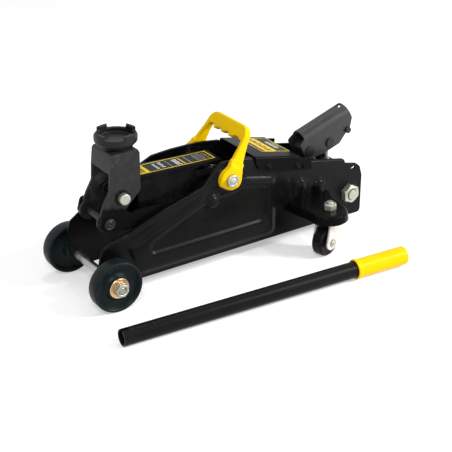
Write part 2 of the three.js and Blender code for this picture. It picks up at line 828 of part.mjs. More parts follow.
// Main pivot shaft, and the pin that carries the link rods and the carry handle
const shaftEnd = plateOuter + pivotShaftBite;
place(chassis, 'main_pivot_shaft', rodY(pivotX, pivotZ, pivotShaftRadius, -shaftEnd, shaftEnd), bareSteel());
const linkPinEnd = bailOuter - gap;
const boltBoreEnd = bailOuter - bailBoltShankLength - gap;
const boltBoreRadius = bailBoltShankRadius + gap;
const linkPin = cut(
  rodY(linkPinX, linkPinZ, linkPinRadius, -linkPinEnd, linkPinEnd),
  rodY(linkPinX, linkPinZ, boltBoreRadius, -linkPinEnd - overrun, -boltBoreEnd, smallSides),
  rodY(linkPinX, linkPinZ, boltBoreRadius, boltBoreEnd, linkPinEnd + overrun, smallSides),
);
place(chassis, 'link_pin', linkPin, bareSteel());
for (const side of [-1, 1]) {
  const headTop = bailOuter + bailBoltHeadHeight;
  const profile = [
    [0, bailOuter - bailBoltShankLength], [bailBoltShankRadius, bailOuter - bailBoltShankLength],
    [bailBoltShankRadius, bailOuter], [bailBoltHeadRadius, bailOuter],
    [bailBoltHeadRadius, headTop - bailBoltChamfer],
    [bailBoltHeadRadius - bailBoltChamfer, headTop], [0, headTop],
  ].map(([r, y]) => [r, side * y]);
  place(chassis, `bail_bolt_${sideName(side)}`, turnedY(profile, smallSides, linkPinX, linkPinZ), zinc());
}

// Cover plate folded over both side plates
const coverInner = plateOuter + gap;
const coverOuter = coverInner + coverThickness;
const [[seatRearX, seatRearZ], [coverFront, seatFrontZ]] = onPlate(coverSeatShares);
const coverSlope = (seatFrontZ - seatRearZ) / (seatRearX - coverFront);
const coverFrontTop = seatFrontZ + coverSeatGap + coverThickness;
const coverTopAt = (x) => coverFrontTop - coverSlope * (x - coverFront);
const coverTopRear = seatRearX + coverNose;
const coverRear = coverTopRear + coverTabLength;
const coverTabTop = coverTopAt(coverRear) - coverSlitHeight;
const coverOutline = rounded([
  [coverFront, coverTopAt(coverFront)],
  [coverFront, coverTopAt(coverFront) - coverFlangeHeight],
  [coverRear, coverTopAt(coverRear) - coverFlangeHeight],
  [coverRear, coverTabTop],
  [coverTopRear, coverTopAt(coverTopRear)],
], coverEdgeRadius);
const coverHollow = [
  [coverFront - overrun, 0],
  [coverFront - overrun, coverTopAt(coverFront - overrun) - coverThickness],
  [coverTopRear, coverTopAt(coverTopRear) - coverThickness],
  [coverTopRear, plateTop],
  [coverRear + overrun, plateTop],
  [coverRear + overrun, 0],
];
const coverSection = rounded([
  [-coverOuter, 0], [coverOuter, 0],
  [coverOuter, coverFrontTop + overrun], [-coverOuter, coverFrontTop + overrun],
], coverEdgeRadius / 2);
const coverDimples = coverDimplesFromFront.flatMap((fromFront) => [-1, 1].map((side) => {
  const x = coverFront + fromFront;
  const z = coverTopAt(x) - coverDimpleDrop;
  const [low, high] = onSide(side, coverOuter - coverThickness / 2, coverOuter + coverDimpleProud);
  return rodY(x, z, coverDimpleRadius, low, high, smallSides);
}));
const slitX = coverRear - coverSlitFromRear;
const slitFloor = coverTopAt(slitX) - coverSlitHeight;
const coverPlate = join(
  cut(
    slabY(coverOutline, -coverOuter, coverOuter)
      .intersect(slabX(coverSection, coverFront - overrun, coverRear + overrun)),
    slabY(coverHollow, -coverInner, coverInner),
    box(slitX, slitX + coverSlitWidth, -coverOuter - overrun, coverOuter + overrun, slitFloor, plateTop),
  ),
  ...coverDimples,
);
place(chassis, 'cover_plate', coverPlate, blackPaint());

// Caster wings: a pressed tray on each plate. The sides of its outline run from the plate
// to the round end, as shares of the end's radius along X and of the reach along Y.
const wingFrontShares = [[-1.2, -1], [-1.04, -0.3]];
const wingRearShares = [[1.03, -0.2], [1.08, -0.5], [1.28, -0.75], [1.6, -1]];
function casterWing(side) {
  const centreY = side * casterSide;
  const reach = casterSide - plateOuter + overrun;
  const ring = (radius) => {
    const sides = (shares) => shares.map(([a, b]) => [a * radius, b * reach]);
    return [
      ...sides(wingFrontShares),
      ...arcPoints(0, 0, radius, halfTurn, 0, smallSides),
      ...sides(wingRearShares),
    ].map(([a, b]) => [casterX - wingCentreLead + a, centreY + side * b]);
  };
  const floorZ = wingTop - wingRimHeight;
  const shell = stackZ([
    { level: floorZ, points: ring(wingEndRadius + wingRimFlare) },
    { level: wingTop - wingTopRound, points: ring(wingEndRadius + wingTopRound / 2) },
    { level: wingTop, points: ring(wingEndRadius - wingTopRound / 2) },
  ]);
  const hollow = stackZ([
    { level: floorZ - overrun, points: ring(wingEndRadius + wingRimFlare - wingThickness) },
    {
      level: wingTop - wingThickness - wingTopRound,
      points: ring(wingEndRadius - wingThickness + wingTopRound / 2),
    },
    { level: wingTop - wingThickness, points: ring(wingEndRadius - wingThickness - wingTopRound / 2) },
  ]);
  const [cutLow, cutHigh] = onSide(side, 0, plateOuter + seat);
  return cut(
    shell,
    hollow,
    rodZ(casterX, centreY, casterStudRadius + gap, floorZ, wingTop + overrun),
    box(coverFront, rearX, cutLow, cutHigh, 0, plateTop),
  );
}
place(chassis, 'caster_wing_left', casterWing(-1), blackPaint());
place(chassis, 'caster_wing_right', casterWing(1), blackPaint());

// Power unit: the block with its bores and the ears that carry the handle socket
const blockHalf = plateInner - blockSideGap;
const ramSleeveEnd = blockFront + ramCylinderBite;
const blockOutline = rounded([
  [blockFront, blockBottom], [blockRear, blockBottom], [blockRear, blockTop], [blockFront, blockTop],
], blockEdge);
const earOutline = [
  [socketPivotX - earRadius, blockTop - overrun], [socketPivotX + earRadius, blockTop - overrun],
  [socketPivotX + earRadius, socketPivotZ], [socketPivotX - earRadius, socketPivotZ],
];
const powerBlock = cut(
  join(
    slabY(blockOutline, -blockHalf, blockHalf),
    slabY(earOutline, -earHalfWidth, earHalfWidth),
    rodY(socketPivotX, socketPivotZ, earRadius, -earHalfWidth, earHalfWidth),
  ),
  rodX(0, ramAxisZ, ramCylinderRadius + gap, blockFront - overrun, ramSleeveEnd + gap, wheelSides),
  rodY(socketPivotX, socketPivotZ, socketPivotRadius + gap, -plateInner, plateInner),
  rodY(rearBoltX, rearBoltZ, rearBoltRadius + gap, -plateOuter, plateOuter),
  rodZ(pumpX, 0, pumpBarrelRadius + gap, pumpBarrelBottom - gap, pumpBarrelTop),
  rodX(0, valveZ, valveRadius + gap, blockRear - valveDepth - gap, rearX),
);
place(chassis, 'power_unit_base', powerBlock, castGrey());

const sleeveStart = glandFront + glandThickness + gap;
const shellEnd = blockFront - gap;
const fillerX = sleeveStart + fillerFromGland;
const shellTop = ramAxisZ + reservoirRadius;
const reservoir = cut(
  rodX(0, ramAxisZ, reservoirRadius, sleeveStart, shellEnd, wheelSides),
  rodX(0, ramAxisZ, reservoirRadius - reservoirWall, sleeveStart - overrun, shellEnd + overrun, wheelSides),
  rodZ(fillerX, 0, fillerRadius + gap, ramAxisZ, shellTop + overrun),
);
place(chassis, 'reservoir_shell', reservoir, satinBlack());
const ramCylinderBore = ramCylinderRadius - ramCylinderWall;
const ramCylinder = cut(
  rodX(0, ramAxisZ, ramCylinderRadius, sleeveStart, ramSleeveEnd, wheelSides),
  rodX(0, ramAxisZ, ramCylinderBore, sleeveStart - overrun, ramSleeveEnd + overrun, wheelSides),
);
place(chassis, 'ram_cylinder', ramCylinder, bareSteel());
const gland = cut(
  rodX(0, ramAxisZ, reservoirRadius, glandFront, glandFront + glandThickness, wheelSides),
  rodX(0, ramAxisZ, ramRadius + gap, glandFront - overrun, sleeveStart, wheelSides),
);
place(chassis, 'gland_nut', gland, castGrey());
const fillerPlug = turnedZ([
  [0, shellTop - reservoirWall], [fillerRadius, shellTop - reservoirWall], [fillerRadius, shellTop + gap],
  [fillerHeadRadius, shellTop + gap], [fillerHeadRadius, shellTop + fillerProud / 2],
  [fillerRadius, shellTop + fillerProud], [0, shellTop + fillerProud],
], smallSides, fillerX, 0);
place(chassis, 'oil_filler_plug', fillerPlug, rubberRed());

// Pump barrel and the spring that lifts its plunger
const plungerBottom = pumpBarrelBottom + plungerFloorGap;
const plungerTop = socketPivotZ + rollerRise - rollerPinRadius - plungerRollerGap;
const barrel = ringZ(pumpX, 0, plungerRadius + gap, pumpBarrelRadius, pumpBarrelBottom, pumpBarrelTop);
place(chassis, 'pump_barrel', barrel, bareSteel());
const springTop = plungerTop - plungerHeadThickness - gap;
const pumpSpringInner = pumpSpringRadius - pumpSpringWire;
const pumpSpring = ringZ(pumpX, 0, pumpSpringInner, pumpSpringRadius, pumpBarrelTop + gap, springTop);
place(chassis, 'pump_spring', pumpSpring, springSteel());

// Tie bolt with its nuts at the rear of the side plates
const rearNutInner = plateOuter + nutPadProud + seat;
const rearNutOuter = rearNutInner + rearNutThickness;
const rearBoltEnd = rearNutOuter + rearBoltProud;
const rearBolt = rodY(rearBoltX, rearBoltZ, rearBoltRadius, -rearBoltEnd, rearBoltEnd);
place(chassis, 'rear_tie_bolt', rearBolt, zinc());
for (const side of [-1, 1]) {
  const [nutLow, nutHigh] = onSide(side, rearNutInner, rearNutOuter);
  const nut = cut(
    hexY(rearBoltX, rearBoltZ, rearNutRadius, nutLow, nutHigh),
    rodY(rearBoltX, rearBoltZ, rearBoltRadius + gap, nutLow - overrun, nutHigh + overrun),
  );
  place(chassis, `rear_nut_${sideName(side)}`, nut, zinc());
}

// Return springs from the heel pin's ends back to the block
const springY = (plateInner + cheekOuter) / 2;
for (const side of [-1, 1]) {
  const start = pivotX + heelX + heelStubRadius + gap;
  const spring = rodX(side * springY, pivotZ + heelZ, returnSpringRadius, start, shellEnd, smallSides);
  place(chassis, `return_spring_${sideName(side)}`, spring, springSteel());
}

// Lift arm: a folded channel between two cheeks
const liftArm = groupAt(jack, 'lift_arm', pivotX, 0, pivotZ);
const channelFront = armLength - channelFromBolt;
const ledgeFront = armLength - ledgeFromBolt;
const channelInner = channelHalfWidth - channelThickness;
const ledgeFloor = ledgeTop - channelThickness;
function archSection(halfWidth, height, radius) {
  return rounded([[-halfWidth, 0], [halfWidth, 0], [halfWidth, height], [-halfWidth, height]], radius);
}

// A section in Y and Z carried along X, falling evenly to the rear
function fallingX(points, xLow, xHigh) {
  const geometry = new THREE.ExtrudeGeometry(shapeOf(points), { depth: xHigh - xLow, bevelEnabled: false });
  const turn = new THREE.Matrix4().makeBasis(
    new THREE.Vector3(0, 1, 0),
    new THREE.Vector3(0, 0, 1),
    new THREE.Vector3(1, 0, -channelSlope),
  );
  geometry.applyMatrix4(turn);
  geometry.translate(xLow, 0, -channelSlope * xLow);
  return solidOf(geometry);
}
const channelSheet = fallingX(
  archSection(channelHalfWidth, channelHeight, channelBendRadius), -channelFront, channelRear,
);
const channelHollow = fallingX(
  archSection(channelInner, channelHeight - channelThickness, channelBendRadius / 2),
  -channelFront - overrun, channelRear + overrun,
);
const linkCentreRadius = Math.hypot(linkOffsetX, linkOffsetZ);
const linkCutHalf = linkPinRadius + overrun;
const linkCutArc = [
  ...arcPoints(0, 0, linkCentreRadius + linkCutHalf, 0, linkCutSweep, smallSides),
  ...arcPoints(0, 0, linkCentreRadius - linkCutHalf, linkCutSweep, 0, smallSides),
];
const ledges = [-1, 1].map((side) => {
  const [low, high] = onSide(side, channelInner, cheekInner - seat);
  return box(-ledgeFront, ledgeRear, low, high, ledgeFloor, ledgeTop);
});
const channel = join(
  cut(
    channelSheet,
    channelHollow,
    box(-armLength, armLength, -cheekOuter, cheekOuter, -plateHeight, ledgeFloor),
    slabY(linkCutArc, -cheekOuter, cheekOuter),
  ),
  ...ledges,
);
place(liftArm, 'lift_arm_channel', channel, satinBlack());

// Cheeks with an ear in front, a lobe at the pivot and a heel for the ram
const upperBoltX = linkOffsetX;
const upperBoltZ = linkOffsetZ;
const earX = saddleBoltX - pivotX;
const earZ = saddleBoltZ - pivotZ;
const lowBoltX = earX + upperBoltX * Math.cos(lowAngle) + upperBoltZ * Math.sin(lowAngle);
const lowBoltZ = earZ - upperBoltX * Math.sin(lowAngle) + upperBoltZ * Math.cos(lowAngle);
const heelWeb = [
  [-pivotLobeRadius * Math.cos(heelLean), 0], [heelX - heelLobeRadius, heelZ],
  [heelX + heelLobeRadius, heelZ], [pivotLobeRadius * Math.cos(heelLean), 0],
];
for (const side of [-1, 1]) {
  const [low, high] = onSide(side, cheekInner, cheekOuter);
  const [cutLow, cutHigh] = onSide(side, cheekInner - overrun, cheekOuter + overrun);
  const cheek = cut(
    join(
      slabY(rounded(scaledBy(cheekShares, armLength), bracketBendRadius), low, high),
      rodY(0, 0, pivotLobeRadius, low, high, wheelSides),
      slabY(heelWeb, low, high),
      rodY(heelX, heelZ, heelLobeRadius, low, high, rodSides),
    ),
    rodY(0, 0, pivotShaftRadius + gap, cutLow, cutHigh),
    rodY(earX, earZ, saddleBoltRadius + gap, cutLow, cutHigh),
    rodY(heelX, heelZ, heelStubRadius + gap, cutLow, cutHigh),
    rodY(lowBoltX, lowBoltZ, upperBoltHeadRadius + upperBoltScoop, cutLow, cutHigh),
  );
  place(liftArm, `lift_arm_cheek_${sideName(side)}`, cheek, blackPaint());
}
const heelBarEnd = cheekInner - gap;
const heelStubEnd = plateInner - gap * 2;
const heelPin = join(
  rodY(heelX, heelZ, heelPinRadius, -heelBarEnd, heelBarEnd),
  rodY(heelX, heelZ, heelStubRadius, -heelStubEnd, heelStubEnd),
);
place(liftArm, 'heel_pin', heelPin, bareSteel());
const saddleBoltTop = cheekOuter + gap + saddleBoltHeadHeight;
const saddleBolt = turnedY([
  [0, -saddleBoltTop], [saddleBoltHeadRadius - nutChamfer, -saddleBoltTop],
  [saddleBoltHeadRadius, -saddleBoltTop + nutChamfer], [saddleBoltHeadRadius, -cheekOuter - gap],
  [saddleBoltRadius, -cheekOuter - gap], [saddleBoltRadius, cheekOuter + gap],
  [saddleBoltHeadRadius, cheekOuter + gap], [saddleBoltHeadRadius, saddleBoltTop - nutChamfer],
  [saddleBoltHeadRadius - nutChamfer, saddleBoltTop], [0, saddleBoltTop],
], smallSides, earX, earZ);
place(liftArm, 'saddle_pivot_bolt', saddleBolt, satinBlack());

// Link rods beside each other inside the channel, parallel to the arm
const links = groupAt(jack, 'link_rods', linkPinX, 0, linkPinZ);
const linkTurn = Math.atan2(earZ, earX);
const linkBar = [
  [0, -linkRodHalfHeight], [armLength, -linkRodHalfHeight],
  [armLength, linkRodHalfHeight], [0, linkRodHalfHeight],
].map(([a, b]) => [
  a * Math.cos(linkTurn) - b * Math.sin(linkTurn), a * Math.sin(linkTurn) + b * Math.cos(linkTurn),
]);
for (const side of [-1, 1]) {
  const [low, high] = onSide(side, linkRodInset, linkRodInset + linkRodThickness);
  const rod = cut(
    join(
      slabY(linkBar, low, high),
      rodY(0, 0, linkEyeRadius, low, high),
      rodY(earX, earZ, linkEyeRadius, low, high),
    ),
    rodY(0, 0, linkPinRadius + gap, low - overrun, high + overrun),
    rodY(earX, earZ, upperBoltRadius + linkFrontClearance, low - overrun, high + overrun),
  );
  place(links, `link_rod_${sideName(side)}`, rod, bareSteel());
}

// Saddle bracket, folded from sheet, on the arm's front end
const bracket = groupAt(jack, 'saddle_carrier', saddleBoltX, 0, saddleBoltZ);
const bracketOutline = rounded(scaledBy(bracketShares, bracketTop), bracketBendRadius);
const bracketInner = bracketHalfWidth - bracketThickness;
const bracketPanelFloor = bracketTop - bracketPanelDrop;
const bracketFrontAt = bracketFront + bracketThickness;
const bracketHollow = [
  [-bracketRear, -bracketRear], [bracketRear + overrun, -bracketRear],
  [bracketRear + overrun, bracketTop - bracketThickness],
  [bracketFrontAt + bracketFrontLean, bracketTop - bracketThickness],
  [bracketFrontAt, bracketPanelFloor], [-bracketRear, bracketPanelFloor],
];
const bracketSection = (half, top, radius) => rounded([
  [-half, -bracketRear], [half, -bracketRear], [half, top], [-half, top],
], radius);
const bracketSolid = cut(
  join(
    cut(
      slabY(bracketOutline, -bracketHalfWidth, bracketHalfWidth)
        .intersect(slabX(
          bracketSection(bracketHalfWidth, bracketTop, bracketBendRadius),
          -bracketRear, bracketRear + overrun,
        )),
      slabY(bracketHollow, -bracketHalfWidth, bracketHalfWidth)
        .intersect(slabX(
          bracketSection(bracketInner, bracketTop - bracketThickness, bracketBendRadius - bracketThickness),
          -bracketRear - overrun, bracketRear + overrun + overrun,
        )),
    ),
    ...[-1, 1].map((side) => {
      const [low, high] = onSide(side, bracketInner, bracketHalfWidth);
      return rodY(0, 0, bracketLobeRadius, low, high, rodSides);
    }),
  ),
  rodY(0, 0, saddleBoltRadius + gap, -cheekOuter, cheekOuter),
  rodY(upperBoltX, upperBoltZ, upperBoltRadius + gap, -cheekOuter, cheekOuter),
  rodZ(
    saddleCentre, 0, saddleStemRadius + gap, bracketTop - bracketThickness - overrun, bracketTop + overrun,
  ),
);
place(bracket, 'saddle_bracket', bracketSolid, satinBlack());
const washerFace = bracketHalfWidth + gap;
const upperHeadStart = washerFace + upperBoltWasherThickness;
const upperBoltTop = upperHeadStart + upperBoltHeadHeight;
const upperBolt = turnedY([
  [0, -upperBoltTop], [upperBoltHeadRadius - nutChamfer, -upperBoltTop],
  [upperBoltHeadRadius, -upperBoltTop + nutChamfer], [upperBoltHeadRadius, -upperHeadStart],
  [upperBoltWasherRadius, -upperHeadStart], [upperBoltWasherRadius, -washerFace],
  [upperBoltRadius, -washerFace], [upperBoltRadius, washerFace],
  [upperBoltWasherRadius, washerFace], [upperBoltWasherRadius, upperHeadStart],
  [upperBoltHeadRadius, upperHeadStart], [upperBoltHeadRadius, upperBoltTop - nutChamfer],
  [upperBoltHeadRadius - nutChamfer, upperBoltTop], [0, upperBoltTop],
], rodSides, upperBoltX, upperBoltZ);
place(bracket, 'upper_link_bolt', upperBolt, zinc());

// Saddle cup, which turns on its stem, and the clip that keeps it
const saddle = groupAt(jack, 'saddle', saddleBoltX + saddleCentre, 0, saddleBoltZ + bracketTop);
const clipTop = -bracketThickness - gap * 2;
const clipFloor = clipTop - saddleClipThickness;
const neckRadius = saddleStemRadius - saddleStemNeck;
const cupSolid = turnedZ([
  [0, -saddleStemBelow], [saddleStemRadius, -saddleStemBelow], [saddleStemRadius, clipFloor - gap],
  [neckRadius, clipFloor - gap], [neckRadius, clipTop + gap], [saddleStemRadius, clipTop + gap],
  [saddleStemRadius, gap], [saddleFootRadius, gap], [saddleFootRadius, saddleFootHeight + gap],
  [saddleRadius, saddleTaperHeight], [saddleRadius, saddleRimHeight],
  [saddleRadius - saddleWall, saddleRimHeight],
  [saddleRadius - saddleWall, saddleFloorHeight], [0, saddleFloorHeight],
], wheelSides);
const notchCut = (turn) => {
  const half = saddleNotchWidth / 2;
  const reach = saddleRadius + overrun;
  const turned = [[-reach, -half], [reach, -half], [reach, half], [-reach, half]]
    .map(([a, b]) => [a * Math.cos(turn) - b * Math.sin(turn), a * Math.sin(turn) + b * Math.cos(turn)]);
  return slabZ(turned, saddleRimHeight - saddleNotchDepth, saddleRimHeight + overrun);
};
const notchTurns = Array.from(
  { length: saddleNotches / 2 },
  (_, k) => saddleTurn + fullTurn * k / saddleNotches,
);
place(saddle, 'saddle_cup', cut(cupSolid, ...notchTurns.map(notchCut)), castGrey());
const clip = cut(
  ringZ(0, 0, neckRadius + gap, saddleClipRadius, clipFloor, clipTop),
  box(
    0, saddleClipRadius + overrun, -saddleClipWidth / 2, saddleClipWidth / 2,
    clipFloor - overrun, clipTop + overrun,
  ),
);
place(saddle, 'saddle_clip', clip, springSteel());

// Ram, which pushes the heel pin through its crosshead
const ram = groupAt(jack, 'ram', 0, 0, 0);
const crossheadFront = pivotX + heelX + heelPinRadius + heelRunningGap;
const crossheadRear = crossheadFront + crossheadLength;
const crossheadHalf = cheekInner - crossheadSideGap;
const crosshead = slabX(rounded([
  [-crossheadHalf, ramAxisZ - crossheadHeight / 2], [crossheadHalf, ramAxisZ - crossheadHeight / 2],
  [crossheadHalf, ramAxisZ + crossheadHeight / 2], [-crossheadHalf, ramAxisZ + crossheadHeight / 2],
], blockEdge), crossheadFront, crossheadRear);
place(ram, 'ram_crosshead', crosshead, castGrey());
const ramEnd = shellEnd - (shellEnd - sleeveStart) * ramPistonShare;
const sealEnd = ramEnd - (ramPistonLength - ramSealWidth) / 2;
const sealStart = sealEnd - ramSealWidth;
const pistonRadius = ramCylinderBore - gap;
const ramRod = cut(
  join(
    rodX(0, ramAxisZ, ramRadius, crossheadRear + seat, ramEnd, wheelSides),
    rodX(0, ramAxisZ, pistonRadius, ramEnd - ramPistonLength, ramEnd, wheelSides),
  ),
  cut(
    rodX(0, ramAxisZ, reservoirRadius, sealStart - seat, sealEnd + seat),
    rodX(0, ramAxisZ, ramRadius - ramSealDepth, sealStart - overrun, sealEnd + overrun, wheelSides),
  ),
);
place(ram, 'ram_rod', ramRod, bareSteel());
const ramSeal = cut(
  rodX(0, ramAxisZ, pistonRadius, sealStart, sealEnd, wheelSides),
  rodX(0, ramAxisZ, ramRadius - ramSealDepth + gap, sealStart - overrun, sealEnd + overrun, wheelSides),
);
place(ram, 'ram_seal', ramSeal, rubberRed());

// Pump plunger under the handle socket's roller pin
const pump = groupAt(jack, 'pump', pumpX, 0, 0);
const plunger = turnedZ([
  [0, plungerBottom], [plungerRadius, plungerBottom], [plungerRadius, plungerTop - plungerHeadThickness],
  [plungerHeadRadius, plungerTop - plungerHeadThickness], [plungerHeadRadius, plungerTop], [0, plungerTop],
], rodSides);
place(pump, 'pump_plunger', plunger, bareSteel());

// Handle socket, drawn along its own tube and then tilted
const socket = groupAt(jack, 'handle_socket_group', socketPivotX, 0, socketPivotZ);
socket.rotation.y = -socketTilt;
const socketInner = socketRadius - socketWall;
const arch = (radius, depth, steps) => [
  [-radius, socketAxisHeight - depth],
  ...arcPoints(0, socketAxisHeight, radius, halfTurn, 0, steps),
  [radius, socketAxisHeight - depth],
];
const socketDepth = socketReach / 2;
const socketShell = cut(
  slabX(arch(socketRadius, socketDepth, smallSides), -socketReach, socketReach * 2),
  slabX(
    arch(socketInner, socketDepth + overrun, smallSides), -socketReach - overrun, socketReach * 2 + overrun,
  ),
);
const socketSide = rounded(scaledBy(socketSideShares, socketReach), bracketThickness);
const notchRear = socketReach - socketNotchFromMouth;
const socketSolid = cut(
  socketShell.intersect(slabY(socketSide, -socketRadius - overrun, socketRadius + overrun)),
  slabZ(rounded([
    [notchRear - socketNotchLength, -socketNotchWidth / 2], [notchRear, -socketNotchWidth / 2],
    [notchRear, socketNotchWidth / 2], [notchRear - socketNotchLength, socketNotchWidth / 2],
  ], socketNotchRound), socketAxisHeight, socketAxisHeight + socketRadius + overrun),
  rodY(0, 0, socketPivotRadius + gap, -socketReach, socketReach),
  rodY(rollerAlong, -rollerDrop, rollerPinRadius + gap, -socketReach, socketReach),
  rodY(clampAlong, -clampDrop, clampScrewRadius + gap, -socketReach, socketReach, smallSides),
);
place(socket, 'handle_socket', socketSolid, satinBlack());
function headedPin(x, z, radius, headRadius, headHeight, sides) {
  const seatY = socketRadius + gap;
  const top = seatY + headHeight;
  return turnedY([
    [0, -top], [headRadius, -top], [headRadius, -seatY], [radius, -seatY],
    [radius, seatY], [headRadius, seatY], [headRadius, top], [0, top],
  ], sides, x, z);
}
const pivotPin = headedPin(0, 0, socketPivotRadius, socketPinHeadRadius, socketPinHeadHeight, rodSides);
place(socket, 'socket_pivot_pin', pivotPin, satinBlack());
const rollerPin = headedPin(
  rollerAlong, -rollerDrop, rollerPinRadius, rollerHeadRadius, rollerHeadHeight, rodSides,
);
place(socket, 'socket_roller_pin', rollerPin, satinBlack());
const clampScrew = headedPin(
  clampAlong, -clampDrop, clampScrewRadius, clampHeadRadius, clampHeadHeight, smallSides,
);
place(socket, 'lever_clamp_screw', clampScrew, satinBlack());

// Carry handle, drawn upright and then leaned back
const bail = groupAt(jack, 'carry_handle_group', linkPinX, 0, linkPinZ);
bail.rotation.y = bailLean;
const bailRootOuter = bailInner + bailLegThickness - bailRootDraw;
const bailNeckOuter = bailRootOuter + bailRootDraw - bailNeckDraw;
const bailRootInner = bailRootOuter - bailLegThickness;
const bailNeckInner = bailNeckOuter - bailLegThickness;
const bailGripFloor = bailTop - bailGripDepth;
const mirrored = (points) => [...points, ...points.slice().reverse().map(([y, r]) => [-y, r])];
const bailOutline = rounded(mirrored([
  [bailEyeOuter, -bailEyeRadius], [bailEyeOuter, bailEyeRadius], [bailRootOuter, bailRootRise],
  [bailNeckOuter, bailNeckRise], [bailNeckOuter, bailTop],
]), bailCornerRadius);
const bailLoop = rounded(mirrored([
  [bailInner, -bailEyeRadius - bailCornerRadius], [bailInner, bailEyeRadius], [bailRootInner, bailRootRise],
  [bailRootInner, bailNeckRise - bailInnerCornerRadius * 2], [bailNeckInner, bailGripFloor],
]), bailInnerCornerRadius);
const bailSide = rounded([
  [-bailEyeRadius, 0], [bailEyeRadius, 0], [bailRootWidth / 2, bailRootRise], [bailWidth / 2, bailNeckRise],
  [bailWidth / 2, bailTop], [-bailWidth / 2, bailTop], [-bailWidth / 2, bailNeckRise],
  [-bailRootWidth / 2, bailRootRise],
], bailEdgeRadius);
const fingerRadius = (bailFingerSpan ** 2 / 4 + bailFingerDepth ** 2) / (2 * bailFingerDepth);
const fingers = Array.from({ length: bailFingers }, (_, k) => {
  const y = (k + 0.5 - bailFingers / 2) * bailFingerSpan;
  const fingerZ = bailGripFloor + bailFingerDepth - fingerRadius;
  return rodX(y, fingerZ, fingerRadius, -bailEyeRadius, bailEyeRadius, wheelSides);
});
const bailSolid = cut(
  slabX(bailOutline, -bailEyeRadius, bailEyeRadius)
    .intersect(join(
      slabY(bailSide, -bailEyeOuter, bailEyeOuter),
      rodY(0, 0, bailEyeRadius, -bailEyeOuter, bailEyeOuter, wheelSides),
    )),
  slabX(bailLoop, -bailEyeRadius - overrun, bailEyeRadius + overrun),
  ...fingers,
  rodY(0, 0, linkPinRadius + gap, -bailEyeOuter - overrun, bailEyeOuter + overrun),
);
place(bail, 'carry_handle', bailSolid, yellowPlastic());

// Release valve at the rear of the block
const valve = groupAt(jack, 'release_valve_group', blockRear, 0, valveZ);
const valveSolid = join(
  rodX(0, 0, valveRadius, -valveDepth, valveProud),
  rodX(0, 0, valveCollarRadius, gap, valveCollarLength),
  rodY(
    valveProud - valveCrossRadius, 0, valveCrossRadius,
    -valveCrossLength / 2, valveCrossLength / 2, smallSides,
  ),
);
place(valve, 'release_valve', valveSolid, zinc());

// Front wheels, with a long inner hub that keeps them off the plates
for (const side of [-1, 1]) {
  const wheelCentre = (wheelInner + wheelOuter) / 2;
  const wheel = groupAt(jack, `front_wheel_${sideName(side)}_group`, 0, side * wheelCentre, wheelRadius);
  const web = (wheelWidth - wheelWebThickness) / 2;
  const profile = [
    [axleRadius + gap, plateOuter + gap], [wheelInnerHubRadius, plateOuter + gap],
    [wheelInnerHubRadius, wheelInner + web], [wheelRadius - wheelRimThickness, wheelInner + web],
    [wheelRadius - wheelRimThickness, wheelInner], [wheelRadius - wheelEdgeRound, wheelInner],
    [wheelRadius, wheelInner + wheelEdgeRound], [wheelRadius, wheelOuter - wheelEdgeRound],
    [wheelRadius - wheelEdgeRound, wheelOuter], [wheelRadius - wheelRimThickness, wheelOuter],
    [wheelRadius - wheelRimThickness - wheelEdgeRound, wheelOuter - wheelRecess],
    [wheelHubRadius + wheelEdgeRound, wheelOuter - wheelRecess], [wheelHubRadius, wheelHubFace],
    [axleRadius + gap, wheelHubFace], [axleRadius + gap, plateOuter + gap],
  ].map(([r, y]) => [r, side * (y - wheelCentre)]);
  place(wheel, `front_wheel_${sideName(side)}`, turnedY(profile, wheelSides), wheelBlack());
}

